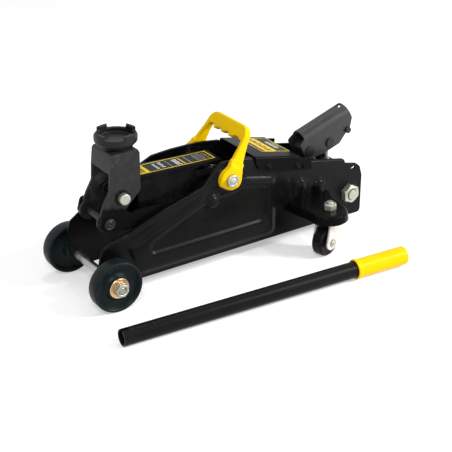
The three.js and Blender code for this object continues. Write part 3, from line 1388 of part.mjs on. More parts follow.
// Rear casters under the wings
for (const side of [-1, 1]) {
  const name = sideName(side);
  const studNutTop = wingTop + casterNutHeight;
  const raceTop = wingTop - wingThickness - seat;
  const studBottom = forkTop - forkThickness - gap - casterStudFlangeHeight;
  const stud = join(
    turnedZ([
      [0, studBottom], [casterStudFlangeRadius, studBottom],
      [casterStudFlangeRadius, studBottom + casterStudFlangeHeight],
      [casterStudRadius, studBottom + casterStudFlangeHeight], [casterStudRadius, forkTop + gap],
      [casterRaceRadius, forkTop + gap], [casterRaceRadius, raceTop], [casterStudRadius, raceTop],
      [casterStudRadius, studNutTop + casterStudProud], [0, studNutTop + casterStudProud],
    ], rodSides, casterX, side * casterSide),
    hexZ(casterX, side * casterSide, casterNutRadius, wingTop + seat, studNutTop),
  );
  place(chassis, `caster_stud_${name}`, stud, zinc());
  const swivel = groupAt(jack, `caster_swivel_${name}`, casterX, side * casterSide, 0);
  swivel.rotation.z = -side * casterTurn;
  const legInner = casterWidth / 2 + forkSideGap;
  const legOuter = legInner + forkThickness;
  const legOutline = [
    [-forkTopRadius, forkTop], [forkTopRadius, forkTop], [forkEyeRadius - casterTrail, casterRadius],
    [-casterTrail - forkEyeRadius, casterRadius],
  ];
  const fork = cut(
    join(
      slabY(legOutline, -legOuter, legOuter),
      rodY(-casterTrail, casterRadius, forkEyeRadius, -legOuter, legOuter),
    ).subtract(box(
      -forkTopRadius - casterTrail, forkTopRadius + overrun, -legInner, legInner, 0, forkTop - forkThickness,
    ))
      .add(rodZ(0, 0, forkTopRadius, forkTop - forkThickness, forkTop, wheelSides)),
    rodZ(0, 0, casterStudRadius + gap, 0, forkTop + overrun),
    rodY(-casterTrail, casterRadius, casterAxleRadius + gap, -legOuter - overrun, legOuter + overrun),
  );
  place(swivel, `caster_fork_${name}`, fork, zinc());
  const rivetSeat = legOuter + gap;
  const rivetTop = rivetSeat + casterRivetHeight;
  const casterAxle = turnedY([
    [0, -rivetTop], [casterRivetRadius - nutChamfer, -rivetTop], [casterRivetRadius, -rivetSeat],
    [casterAxleRadius, -rivetSeat], [casterAxleRadius, rivetSeat], [casterRivetRadius, rivetSeat],
    [casterRivetRadius - nutChamfer, rivetTop], [0, rivetTop],
  ], smallSides, -casterTrail, casterRadius);
  place(swivel, `caster_axle_${name}`, casterAxle, zinc());
  const roller = groupAt(swivel, `caster_roller_${name}`, -casterTrail, 0, casterRadius);
  const half = casterWidth / 2;
  const rollerSolid = turnedY([
    [casterAxleRadius + gap, -half], [casterHubRadius, -half],
    [casterHubRadius + casterRecess, casterRecess - half],
    [casterRadius - casterEdgeRound - casterRecess, casterRecess - half],
    [casterRadius - casterEdgeRound, -half],
    [casterRadius, casterEdgeRound - half], [casterRadius, half - casterEdgeRound],
    [casterRadius - casterEdgeRound, half],
    [casterRadius - casterEdgeRound - casterRecess, half - casterRecess],
    [casterHubRadius + casterRecess, half - casterRecess], [casterHubRadius, half],
    [casterAxleRadius + gap, half], [casterAxleRadius + gap, -half],
  ], wheelSides);
  place(roller, `caster_wheel_${name}`, rollerSolid, wheelBlack());
}

// Loose lever, lying on the tube's open end and the grip's collar
const lever = groupAt(jack, 'pump_lever', leverStartX, leverStartY, leverRadius);
const leverPitch = (leverCollarRadius - leverRadius) / leverGripStart;
lever.rotation.set(0, -leverPitch, leverYaw, 'ZYX');
const leverBore = leverRadius - leverWall;
const tube = cut(
  rodX(0, 0, leverRadius, 0, leverTubeEnd, wheelSides),
  rodX(0, 0, leverBore, -overrun, leverTubeEnd + overrun, rodSides),
  box(-overrun, leverSlotLength, -leverSlotWidth / 2, leverSlotWidth / 2, 0, leverRadius + overrun),
);
const button = new THREE.SphereGeometry(leverButtonRadius, smallSides, smallSides / 2);
const buttonOut = leverRadius + leverButtonProud - leverButtonRadius;
button.translate(
  leverButtonAlong, -buttonOut * Math.sin(leverButtonTilt), buttonOut * Math.cos(leverButtonTilt),
);
place(lever, 'lever_tube', join(tube, solidOf(button)), blackPaint());
const gripBore = leverRadius + gap;
const grip = cut(
  join(
    rodX(0, 0, leverGripRadius, leverGripStart, leverLength, wheelSides),
    rodX(0, 0, leverCollarRadius, leverGripStart, leverGripStart + leverCollarLength, wheelSides),
  ),
  rodX(0, 0, gripBore, leverGripStart - overrun, leverTubeEnd + gap, wheelSides),
);
place(lever, 'lever_grip', grip, yellowPlastic());

// The row frame sits under the middle of the whole part's footprint
jack.updateMatrixWorld(true);
const bounds = new THREE.Box3().setFromObject(jack, true);
const middle = bounds.getCenter(new THREE.Vector3());
jack.position.set(-middle.x, -middle.y, -bounds.min.z);
jack.updateMatrixWorld(true);

export default jack;
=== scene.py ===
"""Dresses the hydraulic floor jack: finer pieces, finishes, labels, studio and camera.

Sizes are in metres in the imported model's frame. The jack's own measures are in
millimetres from the front axle, and place() carries them into that frame.
"""
import math

import bmesh
import bpy
import numpy as np
from mathutils import Matrix, Vector
from mathutils.geometry import delaunay_2d_cdt


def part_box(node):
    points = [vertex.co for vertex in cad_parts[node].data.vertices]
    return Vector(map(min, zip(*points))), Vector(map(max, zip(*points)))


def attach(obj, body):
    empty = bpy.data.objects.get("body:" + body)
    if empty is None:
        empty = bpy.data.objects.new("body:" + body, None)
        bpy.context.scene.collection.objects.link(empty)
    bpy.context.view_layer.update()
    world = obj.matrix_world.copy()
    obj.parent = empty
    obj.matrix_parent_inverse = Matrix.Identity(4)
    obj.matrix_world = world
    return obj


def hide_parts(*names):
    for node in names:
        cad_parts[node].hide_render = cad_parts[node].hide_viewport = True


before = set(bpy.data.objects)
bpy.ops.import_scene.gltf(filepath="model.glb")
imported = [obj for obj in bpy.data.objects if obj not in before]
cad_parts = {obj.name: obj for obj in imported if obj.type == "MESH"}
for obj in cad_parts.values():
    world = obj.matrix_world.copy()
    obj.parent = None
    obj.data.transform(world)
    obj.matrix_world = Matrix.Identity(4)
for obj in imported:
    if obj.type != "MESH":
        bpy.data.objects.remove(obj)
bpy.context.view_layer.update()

bl_info = {
    "name": "Hydraulic Floor Jack",
    "version": (1, 0, 0),
    "blender": (4, 5, 0),
    "location": "View3D > Sidebar > Floor Jack",
    "description": "Finishes, finer pieces and studio for the floor jack",
    "category": "Object",
}

MM = 0.001


def middle_of(node):
    low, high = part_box(node)
    return (low + high) / 2


# The front axle gives the jack's own zero along and across it; heights are those of the frame
AXLE = middle_of("front_axle")


def place(x, y, z):
    """A point in the jack's own millimetres, in the frame's metres."""
    return Vector((AXLE.x + x * MM, AXLE.y + y * MM, z * MM))


# Node helpers

class Net:
    """A node tree, with short calls for the nodes that it needs."""

    def __init__(self, tree):
        self.nodes, self.links = tree.nodes, tree.links

    def put(self, value, target):
        """Links an output to an input, or sets the input's own value."""
        if isinstance(value, bpy.types.NodeSocket):
            self.links.new(value, target)
        else:
            target.default_value = value

    def node(self, kind, inputs=None, **settings):
        made = self.nodes.new(kind)
        for key, value in settings.items():
            setattr(made, key, value)
        for key, value in (inputs or {}).items():
            self.put(value, made.inputs[key])
        return made

    def maths(self, operation, *values):
        return self.node("ShaderNodeMath", dict(enumerate(values)), operation=operation).outputs[0]

    def remap(self, value, low, high):
        inputs = {"Value": value, "From Min": low, "From Max": high}
        return self.node("ShaderNodeMapRange", inputs, interpolation_type="SMOOTHSTEP").outputs["Result"]

    def mix(self, factor, a, b):
        return self.node("ShaderNodeMix", {0: factor, 6: a, 7: b}, data_type="RGBA").outputs[2]

    def noise(self, coords, scale, detail, rough=0.6):
        inputs = {"Vector": coords, "Scale": scale, "Detail": detail, "Roughness": rough}
        return self.node("ShaderNodeTexNoise", inputs).outputs["Fac"]


GREY = (0.5, 0.5, 0.5, 1)


def start_group(name, inputs, outputs):
    """A shader node group with its sockets: the group, its net, what it is given and what it gives out."""
    group = bpy.data.node_groups.new(name, "ShaderNodeTree")
    for key, value in inputs.items():
        kind = "NodeSocketColor" if isinstance(value, tuple) else "NodeSocketFloat"
        group.interface.new_socket(name=key, in_out="INPUT", socket_type=kind).default_value = value
    for key in outputs:
        kind = "NodeSocketColor" if key == "Colour" else "NodeSocketFloat"
        group.interface.new_socket(name=key, in_out="OUTPUT", socket_type=kind)
    net = Net(group)
    return group, net, net.node("NodeGroupInput").outputs, net.node("NodeGroupOutput").inputs


def build_mottle_group():
    """Slow shifts of tone and gloss over a surface, with a fine grain in its height."""
    group, net, given, out = start_group(
        "Mottle", {"Colour": GREY, "Second Colour": GREY, "Patch Scale": 18.0, "Grain Scale": 900.0,
                   "Roughness Low": 0.3, "Roughness High": 0.45}, ("Colour", "Roughness", "Height"))
    coords = net.node("ShaderNodeTexCoord").outputs["Object"]
    patches = net.noise(coords, given["Patch Scale"], 5.0)
    grain = net.noise(coords, given["Grain Scale"], 2.0)
    mask = net.remap(patches, 0.38, 0.66)
    spread = net.maths("SUBTRACT", given["Roughness High"], given["Roughness Low"])
    smooth = net.maths("ADD", given["Roughness Low"], net.maths("MULTIPLY", spread, mask))
    fine = net.maths("MULTIPLY", net.maths("SUBTRACT", grain, 0.5), 0.12)
    net.put(net.mix(mask, given["Colour"], given["Second Colour"]), out["Colour"])
    net.put(net.maths("ADD", smooth, fine), out["Roughness"])
    net.put(net.maths("ADD", net.maths("MULTIPLY", patches, 0.35), grain), out["Height"])
    return group


def build_wear_group():
    """Rubbed edges and short scratches that show another colour; on the wheels the lighter rims are also a painted
    highlight.
    """
    group, net, given, out = start_group(
        "Edge Wear And Highlight", {"Colour": GREY, "Worn And Highlight Colour": GREY, "Amount": 0.5, "Break Scale": 120.0}, ("Colour", "Mask"))
    coords = net.node("ShaderNodeTexCoord").outputs["Object"]
    edge = net.remap(net.node("ShaderNodeNewGeometry").outputs["Pointiness"], 0.53, 0.62)
    broken = net.remap(net.noise(coords, given["Break Scale"], 6.0, 0.7), 0.47, 0.6)
    stretch = net.node("ShaderNodeMapping", {"Vector": coords, "Rotation": (0.3, 0.9, 0.5), "Scale": (1.0, 14.0, 14.0)})
    lines = net.noise(stretch.outputs["Vector"], given["Break Scale"], 2.0, 0.4)
    scratch = net.maths("MULTIPLY", net.remap(lines, 0.71, 0.74), 0.35)
    both = net.maths("MAXIMUM", net.maths("MULTIPLY", edge, broken), scratch)
    mask = net.maths("MULTIPLY", both, given["Amount"])
    net.put(net.mix(mask, given["Colour"], given["Worn And Highlight Colour"]), out["Colour"])
    net.put(mask, out["Mask"])
    return group


def build_dust_group():
    """A thin film of dust on what faces up."""
    group, net, given, out = start_group(
        "Dust", {"Colour": GREY, "Dust Colour": (0.3, 0.28, 0.25, 1), "Amount": 0.1}, ("Colour", "Mask"))
    cloud = net.noise(net.node("ShaderNodeTexCoord").outputs["Object"], 60.0, 8.0, 0.75)
    normal = net.node("ShaderNodeSeparateXYZ", {0: net.node("ShaderNodeNewGeometry").outputs["Normal"]})
    facing_up = net.remap(normal.outputs["Z"], 0.2, 1.0)
    mask = net.maths("MULTIPLY", net.maths("MULTIPLY", facing_up, cloud), given["Amount"])
    net.put(net.mix(mask, given["Colour"], given["Dust Colour"]), out["Colour"])
    net.put(mask, out["Mask"])
    return group


def build_smoothing_group():
    """Joins a solid's facets and keeps only its true edges sharp."""
    group = bpy.data.node_groups.new("Smooth Facets", "GeometryNodeTree")
    for way in ("INPUT", "OUTPUT"):
        group.interface.new_socket(name="Geometry", in_out=way, socket_type="NodeSocketGeometry")
    net = Net(group)
    solid = net.node("NodeGroupInput").outputs[0]
    bare = net.node("GeometryNodeRemoveAttribute", {"Geometry": solid, "Name": "custom_normal"}).outputs["Geometry"]
    weld = net.node("GeometryNodeMergeByDistance", {"Geometry": bare, "Distance": 0.00001}).outputs["Geometry"]
    faces = net.node("GeometryNodeSetShadeSmooth", {"Geometry": weld}, domain="FACE").outputs["Geometry"]
    angle = net.node("GeometryNodeInputMeshEdgeAngle").outputs["Unsigned Angle"]
    sharp = net.node("FunctionNodeCompare", {0: angle, 1: math.radians(32)}, operation="GREATER_THAN").outputs[0]
    edges = net.node("GeometryNodeSetShadeSmooth", {"Geometry": faces, "Selection": sharp, "Shade Smooth": False},
                     domain="EDGE").outputs["Geometry"]
    net.put(edges, net.node("NodeGroupOutput").inputs[0])
    return group


BUILDERS = {"Mottle": build_mottle_group, "Edge Wear And Highlight": build_wear_group, "Dust": build_dust_group,
            "Smooth Facets": build_smoothing_group}
GROUPS = {}


def shared_group(name):
    """A node group, built at its first use."""
    if name not in GROUPS:
        GROUPS[name] = BUILDERS[name]()
    return GROUPS[name]


# Finishes

def finish(name, colour, second, worn_and_highlight, rough, metal=0.0, specular=0.5,
           patch=18.0, grain=900.0, bump=0.05, wear_and_highlight=0.3, dust=0.06, breaks=120.0):
    """A material for one of the jack's finishes."""
    material = bpy.data.materials.new(name)
    material.use_nodes = True
    net = Net(material.node_tree)
    mottle = net.node("ShaderNodeGroup", {
        "Colour": (*colour, 1), "Second Colour": (*second, 1), "Patch Scale": patch, "Grain Scale": grain,
        "Roughness Low": rough[0], "Roughness High": rough[1]}, node_tree=shared_group("Mottle")).outputs
    rubbed_and_highlight = net.node("ShaderNodeGroup", {
        "Colour": mottle["Colour"], "Worn And Highlight Colour": (*worn_and_highlight, 1), "Amount": wear_and_highlight, "Break Scale": breaks},
        node_tree=shared_group("Edge Wear And Highlight")).outputs
    dusty = net.node("ShaderNodeGroup", {"Colour": rubbed_and_highlight["Colour"], "Amount": dust},
                     node_tree=shared_group("Dust")).outputs
    lift = net.maths("MULTIPLY", net.maths("ADD", rubbed_and_highlight["Mask"], dusty["Mask"]), 0.35)
    relief = net.node("ShaderNodeBump", {"Strength": bump, "Distance": 0.0006, "Height": mottle["Height"]})
    shader = net.nodes["Principled BSDF"].inputs
    for key, value in (("Metallic", metal), ("Specular IOR Level", specular), ("Base Color", dusty["Colour"]),
                       ("Roughness", net.maths("ADD", mottle["Roughness"], lift)),
                       ("Normal", relief.outputs["Normal"])):
        net.put(value, shader[key])
    return material


FINISHES = {}


def grey(level, blue=0.0):
    return level, level, level + blue


def shade(colour, share):
    return tuple(c * share for c in colour)


def build_finishes(colours):
    """Every finish: colour, second colour, worn colour (on the wheels also a painted rim highlight) and range of
    roughness, then what sets it apart.
    """
    black, yellow, zinc, ink = (tuple(c) for c in (colours.paint, colours.plastic, colours.zinc, colours.label))
    FINISHES.update({
        "gloss_black": finish(
            "gloss black paint", black, shade(black, 1.5), grey(0.05), (0.25, 0.32),
            specular=0.105, grain=600, bump=0.03, wear_and_highlight=0.12, dust=0.002),
        "satin_black": finish(
            "satin black powder coat", grey(0.014, 0.0005), grey(0.02, 0.0005), grey(0.06), (0.36, 0.48),
            specular=0.22, grain=1500, bump=0.16, wear_and_highlight=0.35, dust=0.015),
        # On the lift arm this darker, duller black is painted shade for the shadow between the side plates.
        "cover_black_and_arm_shade": finish(
            "satin black cover paint and arm shade", grey(0.0028, 0.0002), grey(0.0045, 0.0002), grey(0.05), (0.24, 0.3),
            specular=0.04, bump=0.05, wear_and_highlight=0.1, dust=0.001),
        "tube_black": finish(
            "black painted tube", grey(0.006, 0.0002), grey(0.009, 0.0002), grey(0.06), (0.28, 0.36),
            specular=0.08, bump=0.06, dust=0.004),
        "socket_grey": finish(
            "grey powder coat", grey(0.032, 0.001), grey(0.042, 0.001), grey(0.09), (0.34, 0.46),
            specular=0.25, grain=1500, bump=0.14, wear_and_highlight=0.35, dust=0.015),
        "cast_dark": finish(
            "dark cast iron", grey(0.009, 0.0003), grey(0.015, -0.0002), grey(0.09), (0.36, 0.5),
            specular=0.2, grain=700, bump=0.4, wear_and_highlight=0.4, dust=0.01),
        "dark_steel": finish(
            "blackened steel", grey(0.02, 0.001), grey(0.03), grey(0.16), (0.3, 0.42),
            metal=0.5, specular=0.3, grain=1700, bump=0.14, wear_and_highlight=0.6, dust=0.02),
        # The wheels' strong edge wear in light grey is a painted highlight on the rims as well as scuffing.
        "wheel_black": finish(
            "moulded black nylon", (0.003, 0.008, 0.009), (0.006, 0.013, 0.014), (0.14, 0.15, 0.15), (0.3, 0.42),
            specular=0.12, grain=1300, bump=0.16, wear_and_highlight=0.9, dust=0.03, breaks=420),
        "zinc": finish(
            "bright zinc plate", zinc, shade(zinc, 0.84), (0.3, 0.29, 0.25), (0.32, 0.48),
            metal=0.8, patch=60, grain=1800, bump=0.1),
        "fork_white": finish(
            "white zinc plate", (0.84, 0.81, 0.78), (0.76, 0.72, 0.69), (0.5, 0.47, 0.45), (0.35, 0.5),
            metal=0.3, patch=60, grain=1800, bump=0.08, dust=0.02),
        "yellow_zinc": finish(
            "yellow zinc plate", (0.78, 0.5, 0.2), (0.62, 0.42, 0.46), (0.35, 0.28, 0.2), (0.18, 0.34),
            metal=1.0, patch=110, grain=1800, bump=0.1, dust=0.03),
        "steel": finish(
            "turned steel", grey(0.42), grey(0.5), (0.2, 0.19, 0.18), (0.25, 0.4),
            metal=1.0, patch=40, grain=2200, bump=0.12, wear_and_highlight=0.25, dust=0.03),
        "spring_steel": finish(
            "oiled spring steel", grey(0.13, 0.01), grey(0.2), grey(0.3), (0.3, 0.45),
            metal=1.0, grain=2000, bump=0.1, dust=0.03),
        "yellow_plastic": finish(
            "yellow moulded plastic", yellow, shade(yellow, 0.93), (0.95, 0.72, 0.1), (0.24, 0.34),
            specular=0.07, patch=30, grain=1200, bump=0.08, wear_and_highlight=0.15, dust=0.002),
        "seal_rubber": finish(
            "red seal rubber", (0.2, 0.02, 0.015), (0.15, 0.015, 0.012), (0.25, 0.06, 0.05), (0.5, 0.65),
            specular=0.3, grain=1400, bump=0.2, wear_and_highlight=0.2, dust=0.04),
        "film_black": finish(
            "black label film", grey(0.004, 0.0005), grey(0.006), grey(0.03), (0.25, 0.35),
            specular=0.08, grain=500, wear_and_highlight=0.1, dust=0.005),
        "film_yellow": finish(
            "yellow label print", ink, shade(ink, 0.85), (0.3, 0.22, 0.02), (0.3, 0.4),
            specular=0.1, grain=500, wear_and_highlight=0.2, dust=0.005, breaks=400),
        "film_white": finish(
            "white label print", grey(0.62, -0.02), grey(0.42), grey(0.2), (0.3, 0.4),
            specular=0.2, patch=300, grain=500, dust=0.01, breaks=400),
    })


# Each finish with the CAD pieces that keep their own shape
NODE_FINISH = {
    # The arm's cheeks and channel take the darker, duller black as painted shade for the shadow between the side
    # plates.
    "cover_black_and_arm_shade": ["lift_arm_cheek_left", "lift_arm_cheek_right", "lift_arm_channel"],
    "satin_black": ["reservoir_shell", "saddle_bracket"],
    "socket_grey": ["handle_socket"],
    "tube_black": ["lever_tube"],
    "cast_dark": ["gland_nut"],
    "dark_steel": ["socket_pivot_pin", "socket_roller_pin", "lever_clamp_screw", "link_rod_left", "link_rod_right"],
    "zinc": ["rear_tie_bolt", "release_valve"],
    "steel": ["front_axle", "main_pivot_shaft", "link_pin", "ram_cylinder", "pump_barrel", "heel_pin",
              "ram_rod", "pump_plunger"],
    "spring_steel": ["pump_spring", "return_spring_left", "return_spring_right", "saddle_clip"],
    "seal_rubber": ["ram_seal", "oil_filler_plug"],
}

# Radius of the rounded edges on the carried-over CAD pieces
EDGE_RADIUS = 0.5 * MM


def soften(obj):
    """Welds and smooths a CAD node's surface and rounds its edges a little."""
    obj.modifiers.new("Smooth facets", "NODES").node_group = shared_group("Smooth Facets")
    bevel = obj.modifiers.new("Edge radius", "BEVEL")
    bevel.width = EDGE_RADIUS
    bevel.segments = 2
    bevel.limit_method = "ANGLE"
    bevel.angle_limit = math.radians(40)
    bevel.harden_normals = True


# Shapes

def smooth_mesh(mesh, angle=35):
    """Shades a mesh smooth and keeps the edges above an angle sharp."""
    mesh.validate()
    shape = bmesh.new()
    shape.from_mesh(mesh)
    bmesh.ops.remove_doubles(shape, verts=shape.verts, dist=0.000002)
    bmesh.ops.recalc_face_normals(shape, faces=shape.faces)
    shape.to_mesh(mesh)
    shape.free()
    mesh.update()
    mesh.polygons.foreach_set("use_smooth", [True] * len(mesh.polygons))
    mesh.set_sharp_from_angle(angle=math.radians(angle))


def new_piece(name, solid, body, finish_name, replaces=(), angle=35):
    """A new piece of the jack, riding on a body and standing for the CAD nodes it replaces."""
    verts, faces = solid
    mesh = bpy.data.meshes.new(name)
    mesh.from_pydata([tuple(v) for v in verts], [], faces)
    smooth_mesh(mesh, angle)
    obj = bpy.data.objects.new(name, mesh)
    bpy.context.scene.collection.objects.link(obj)
    obj.data.materials.append(FINISHES[finish_name])
    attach(obj, body)
    if replaces:
        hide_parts(*replaces)
    return obj


def fillet(points, radius, steps=5):
    """Rounds the corners of a closed flat outline."""
    out = []
    count = len(points)
    for i, corner in enumerate(points):
        here = Vector(corner)
        before = Vector(points[i - 1]) - here
        after = Vector(points[(i + 1) % count]) - here
        between = before.angle(after, math.pi)
        if between > math.radians(176) or between < math.radians(2):
            out.append(tuple(corner))
            continue
        room = min(before.length, after.length) * 0.46
        reach = min(radius / math.tan(between / 2), room)
        start = here + before.normalized() * reach
        end = here + after.normalized() * reach
        for k in range(steps + 1):
            t = k / steps
            spot = start.lerp(here, t).lerp(here.lerp(end, t), t)
            out.append((spot.x, spot.y))
    return out


def lathe(profile, steps=64, closed=False):
    """Turns (radius, height) points about Z."""
    verts, faces, rings = [], [], []
    for radius, height in profile:
        if radius < 1e-6:
            rings.append([len(verts)])
            verts.append(Vector((0, 0, height)))
            continue
        ring = []
        for i in range(steps):
            turn = math.tau * i / steps
            ring.append(len(verts))
            verts.append(Vector((radius * math.cos(turn), radius * math.sin(turn), height)))
        rings.append(ring)
    pairs = list(zip(rings, rings[1:]))
    if closed:
        pairs.append((rings[-1], rings[0]))
    for low, high in pairs:
        for i in range(steps):
            j = (i + 1) % steps
            quad = [low[i % len(low)], low[j % len(low)], high[j % len(high)], high[i % len(high)]]
            face = list(dict.fromkeys(quad))
            if len(face) > 2:
                faces.append(face)
    return verts, faces


def hex_nut(corner, height, bore, crown=0.9, steps=72):
    """A hexagon nut or head: six flats, with the arcs that a turned chamfer leaves at its top."""
    flat = corner * math.cos(math.pi / 6)
    verts, faces, rings = [], [], []

    def ring(radius_at, height_at):
        start = len(verts)
        for i in range(steps):
            turn = math.tau * i / steps
            radius = radius_at(turn)
            verts.append(Vector((radius * math.cos(turn), radius * math.sin(turn), height_at(radius))))
        rings.append(list(range(start, start + steps)))

    def hexagon(turn):
        return flat / math.cos((turn + math.pi / 6) % (math.pi / 3) - math.pi / 6)

    start_slope = flat * crown

    def top(radius):
        return height - max(0.0, radius - start_slope) * math.tan(math.radians(30))

    ring(lambda turn: hexagon(turn) * 0.96, lambda radius: 0.0)
    ring(hexagon, lambda radius: 0.04 * corner)
    ring(hexagon, top)
    ring(lambda turn: start_slope, top)
    ring(lambda turn: bore * 1.16, lambda radius: height)
    ring(lambda turn: bore, lambda radius: height - 0.16 * bore)
    ring(lambda turn: bore, lambda radius: height * 0.4)
    for low, high in zip(rings, rings[1:]):
        for i in range(steps):
            j = (i + 1) % steps
            faces.append([low[i], low[j], high[j], high[i]])
    faces.append(list(reversed(rings[0])))
    faces.append(rings[-1])
    return verts, faces


def threaded_end(radius, start, end, pitch=1.25, steps=40):
    """The end of a threaded stud, with its turns as rings and a chamfered tip."""
    profile = [(0, start), (radius, start)]
    height = start
    while height + pitch < end - radius * 0.2:
        profile += [(radius, height + pitch * 0.1), (radius * 0.88, height + pitch * 0.5),
                    (radius, height + pitch * 0.9)]
        height += pitch
    profile += [(radius * 0.8, end - 0.02 * radius), (radius * 0.74, end), (0, end)]
    return lathe(profile, steps)


UPRIGHT = (0, 0, 1)


def in_line(solid, centre, axis, spin=0.0):
    """Carries a solid drawn about Z in millimetres to an axis through a place of the jack."""
    verts, faces = solid
    turn = Vector(axis).normalized().to_track_quat("Z", "Y").to_matrix() @ Matrix.Rotation(spin, 3, "Z")
    start = place(*centre)
    return [start + turn @ (v * MM) for v in verts], faces


def across_jack(solid, x, z, side=1, out=0.0, spin=0.0):
    """Carries a solid drawn about Z to a line across the jack that looks out to one side."""
    return in_line(solid, (x, side * out, z), (0, side, 0), spin)


def joined(*solids):
    """Several (points, faces) as one."""
    verts, faces = [], []
    for points, loops in solids:
        shift = len(verts)
        verts += list(points)
        faces += [[i + shift for i in loop] for loop in loops]
    return verts, faces


def slab(points, low, high, to_place):
    """A flat outline made solid between two levels, with its rims eased."""
    ease = min(0.5, (high - low) * 0.25)
    count = len(points)

    def drawn_in(amount):
        moved = []
        for i, point in enumerate(points):
            along = Vector(points[(i + 1) % count]) - Vector(points[i - 1])
            moved.append(Vector(point) + Vector((-along.y, along.x)).normalized() * amount)
        return moved

    levels = [(low, drawn_in(ease)), (low + ease, drawn_in(0)), (high - ease, drawn_in(0)), (high, drawn_in(ease))]
    verts, faces = [], []
    for level, ring in levels:
        verts += [to_place(p.x, p.y, level) for p in ring]
    for k in range(len(levels) - 1):
        for i in range(count):
            j = (i + 1) % count
            faces.append([k * count + i, k * count + j, (k + 1) * count + j, (k + 1) * count + i])
    faces.append(list(reversed(range(count))))
    faces.append([(len(levels) - 1) * count + i for i in range(count)])
    return verts, faces


def softened_copy(name, node, body, finish_name, cell, rounds, extra=(), reshape=None):
    """A copy of a CAD node, with any forms added to it, blended and rounded like a casting or moulding."""
    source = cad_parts[node]
    verts = [v.co.copy() for v in source.data.vertices]
    faces = [list(p.vertices) for p in source.data.polygons]
    verts, faces = joined((verts, faces), *extra)
    if reshape:
        verts = [reshape(v) for v in verts]
    obj = new_piece(name, (verts, faces), body, finish_name, (node,), 60)
    weld = obj.modifiers.new("Weld", "WELD")
    weld.merge_threshold = 0.00001
    blend = obj.modifiers.new("Blend", "REMESH")
    blend.mode = "VOXEL"
    blend.voxel_size = cell
    blend.use_smooth_shade = True
    ease = obj.modifiers.new("Ease", "SMOOTH")
    ease.factor = 0.5
    ease.iterations = rounds


# Side plates, in shares of their length and height from the lower front
PLATE_LENGTH, PLATE_HEIGHT, PLATE_NOSE, PLATE_FLOOR = 403.0, 125.0, 12.0, 16.3
PLATE_INNER, PLATE_OUTER = 35.1, 38.1
LEFT_OUTLINE = [
    (0.0298, 0.0), (0.7965, 0.0), (0.9628, -0.0168), (1.0, -0.02), (1.0, 0.42), (0.99, 0.53), (0.9715, 0.5754),
    (0.9258, 0.6113), (0.9223, 0.6569), (0.7829, 0.7472), (0.737, 0.776), (0.7295, 0.8288), (0.5608, 0.9448),
    (0.5409, 0.9672), (0.4864, 0.9784), (0.4404, 0.9888), (0.3695, 0.7736), (0.2308, 0.6528), (0.1712, 0.5904),
    (0.1117, 0.5192), (0.0563, 0.492), (0.0223, 0.4352), (0.0107, 0.332), (0.0, 0.1416), (0.0074, 0.0456),
]
RIGHT_OUTLINE = LEFT_OUTLINE[:14] + [
    (0.4864, 0.9912), (0.4392, 0.9992), (0.3648, 0.9976), (0.2978, 0.9816), (0.2643, 0.9336), (0.0454, 0.5856),
    (0.0102, 0.5088), (0.0, 0.4216), (0.0, 0.1416), (0.0074, 0.0456),
]
RIDGE_OUTLINE = [
    (0.1042, 0.3496), (0.1107, 0.408), (0.4042, 0.7648), (0.5298, 0.784), (0.6427, 0.7), (0.6427, 0.0456),
    (0.139, 0.0456),
]
RECESS_OUTLINE = [
    (0.1836, 0.2696), (0.1898, 0.3504), (0.3531, 0.5712), (0.5203, 0.652), (0.597, 0.6056), (0.5955, 0.2696),
]
PIVOT = (150.0, 93.3)
LINK_PAD = (171.8, 119.8)
REAR_BOLT = (366.5, 50.0)
BUMPS = ((287.4, 90.5), (317.8, 82.8))
BUMP_FOOT = 52.0
DOME_RADIUS, BUMP_RADIUS, RIDGE_SHOULDER = 10.0, 9.4, 9.0
RIB_X, GROOVE_X = 266.2, 341.0
TAG_SLOT = (374.0, 82.5)


def on_plate(shares):
    return [(a * PLATE_LENGTH - PLATE_NOSE, PLATE_FLOOR + b * PLATE_HEIGHT) for a, b in shares]


def outline_depth(points, x, z):
    """How deep each point lies inside an outline, or below zero outside it."""
    nearest = np.full(x.shape, 1e9)
    inside = np.zeros(x.shape, bool)
    count = len(points)
    for i in range(count):
        (ax, az), (bx, bz) = points[i], points[(i + 1) % count]
        ex, ez = bx - ax, bz - az
        t = np.clip(((x - ax) * ex + (z - az) * ez) / (ex * ex + ez * ez + 1e-12), 0, 1)
        nearest = np.minimum(nearest, np.hypot(x - ax - t * ex, z - az - t * ez))
        if abs(ez) > 1e-12:
            inside ^= ((az > z) != (bz > z)) & (x < ex * (z - az) / ez + ax)
    return np.where(inside, nearest, -nearest)


def step_up(low, high, value):
    t = np.clip((value - low) / (high - low), 0, 1)
    return t * t * (3 - 2 * t)


def soft_top(a, b, blend):
    """The higher of two heights, blended where they meet."""
    return 0.5 * (a + b + np.sqrt((a - b) ** 2 + blend * blend))


def round_top(away):
    """The height of a half circle over its flat side, at a share of its radius."""
    return np.sqrt(np.clip(1 - away ** 2, 0, 1))


def segment_distance(x, z, start, end):
    ex, ez = end[0] - start[0], end[1] - start[1]
    t = np.clip(((x - start[0]) * ex + (z - start[1]) * ez) / (ex * ex + ez * ez + 1e-12), 0, 1)
    return np.hypot(x - start[0] - t * ex, z - start[1] - t * ez)


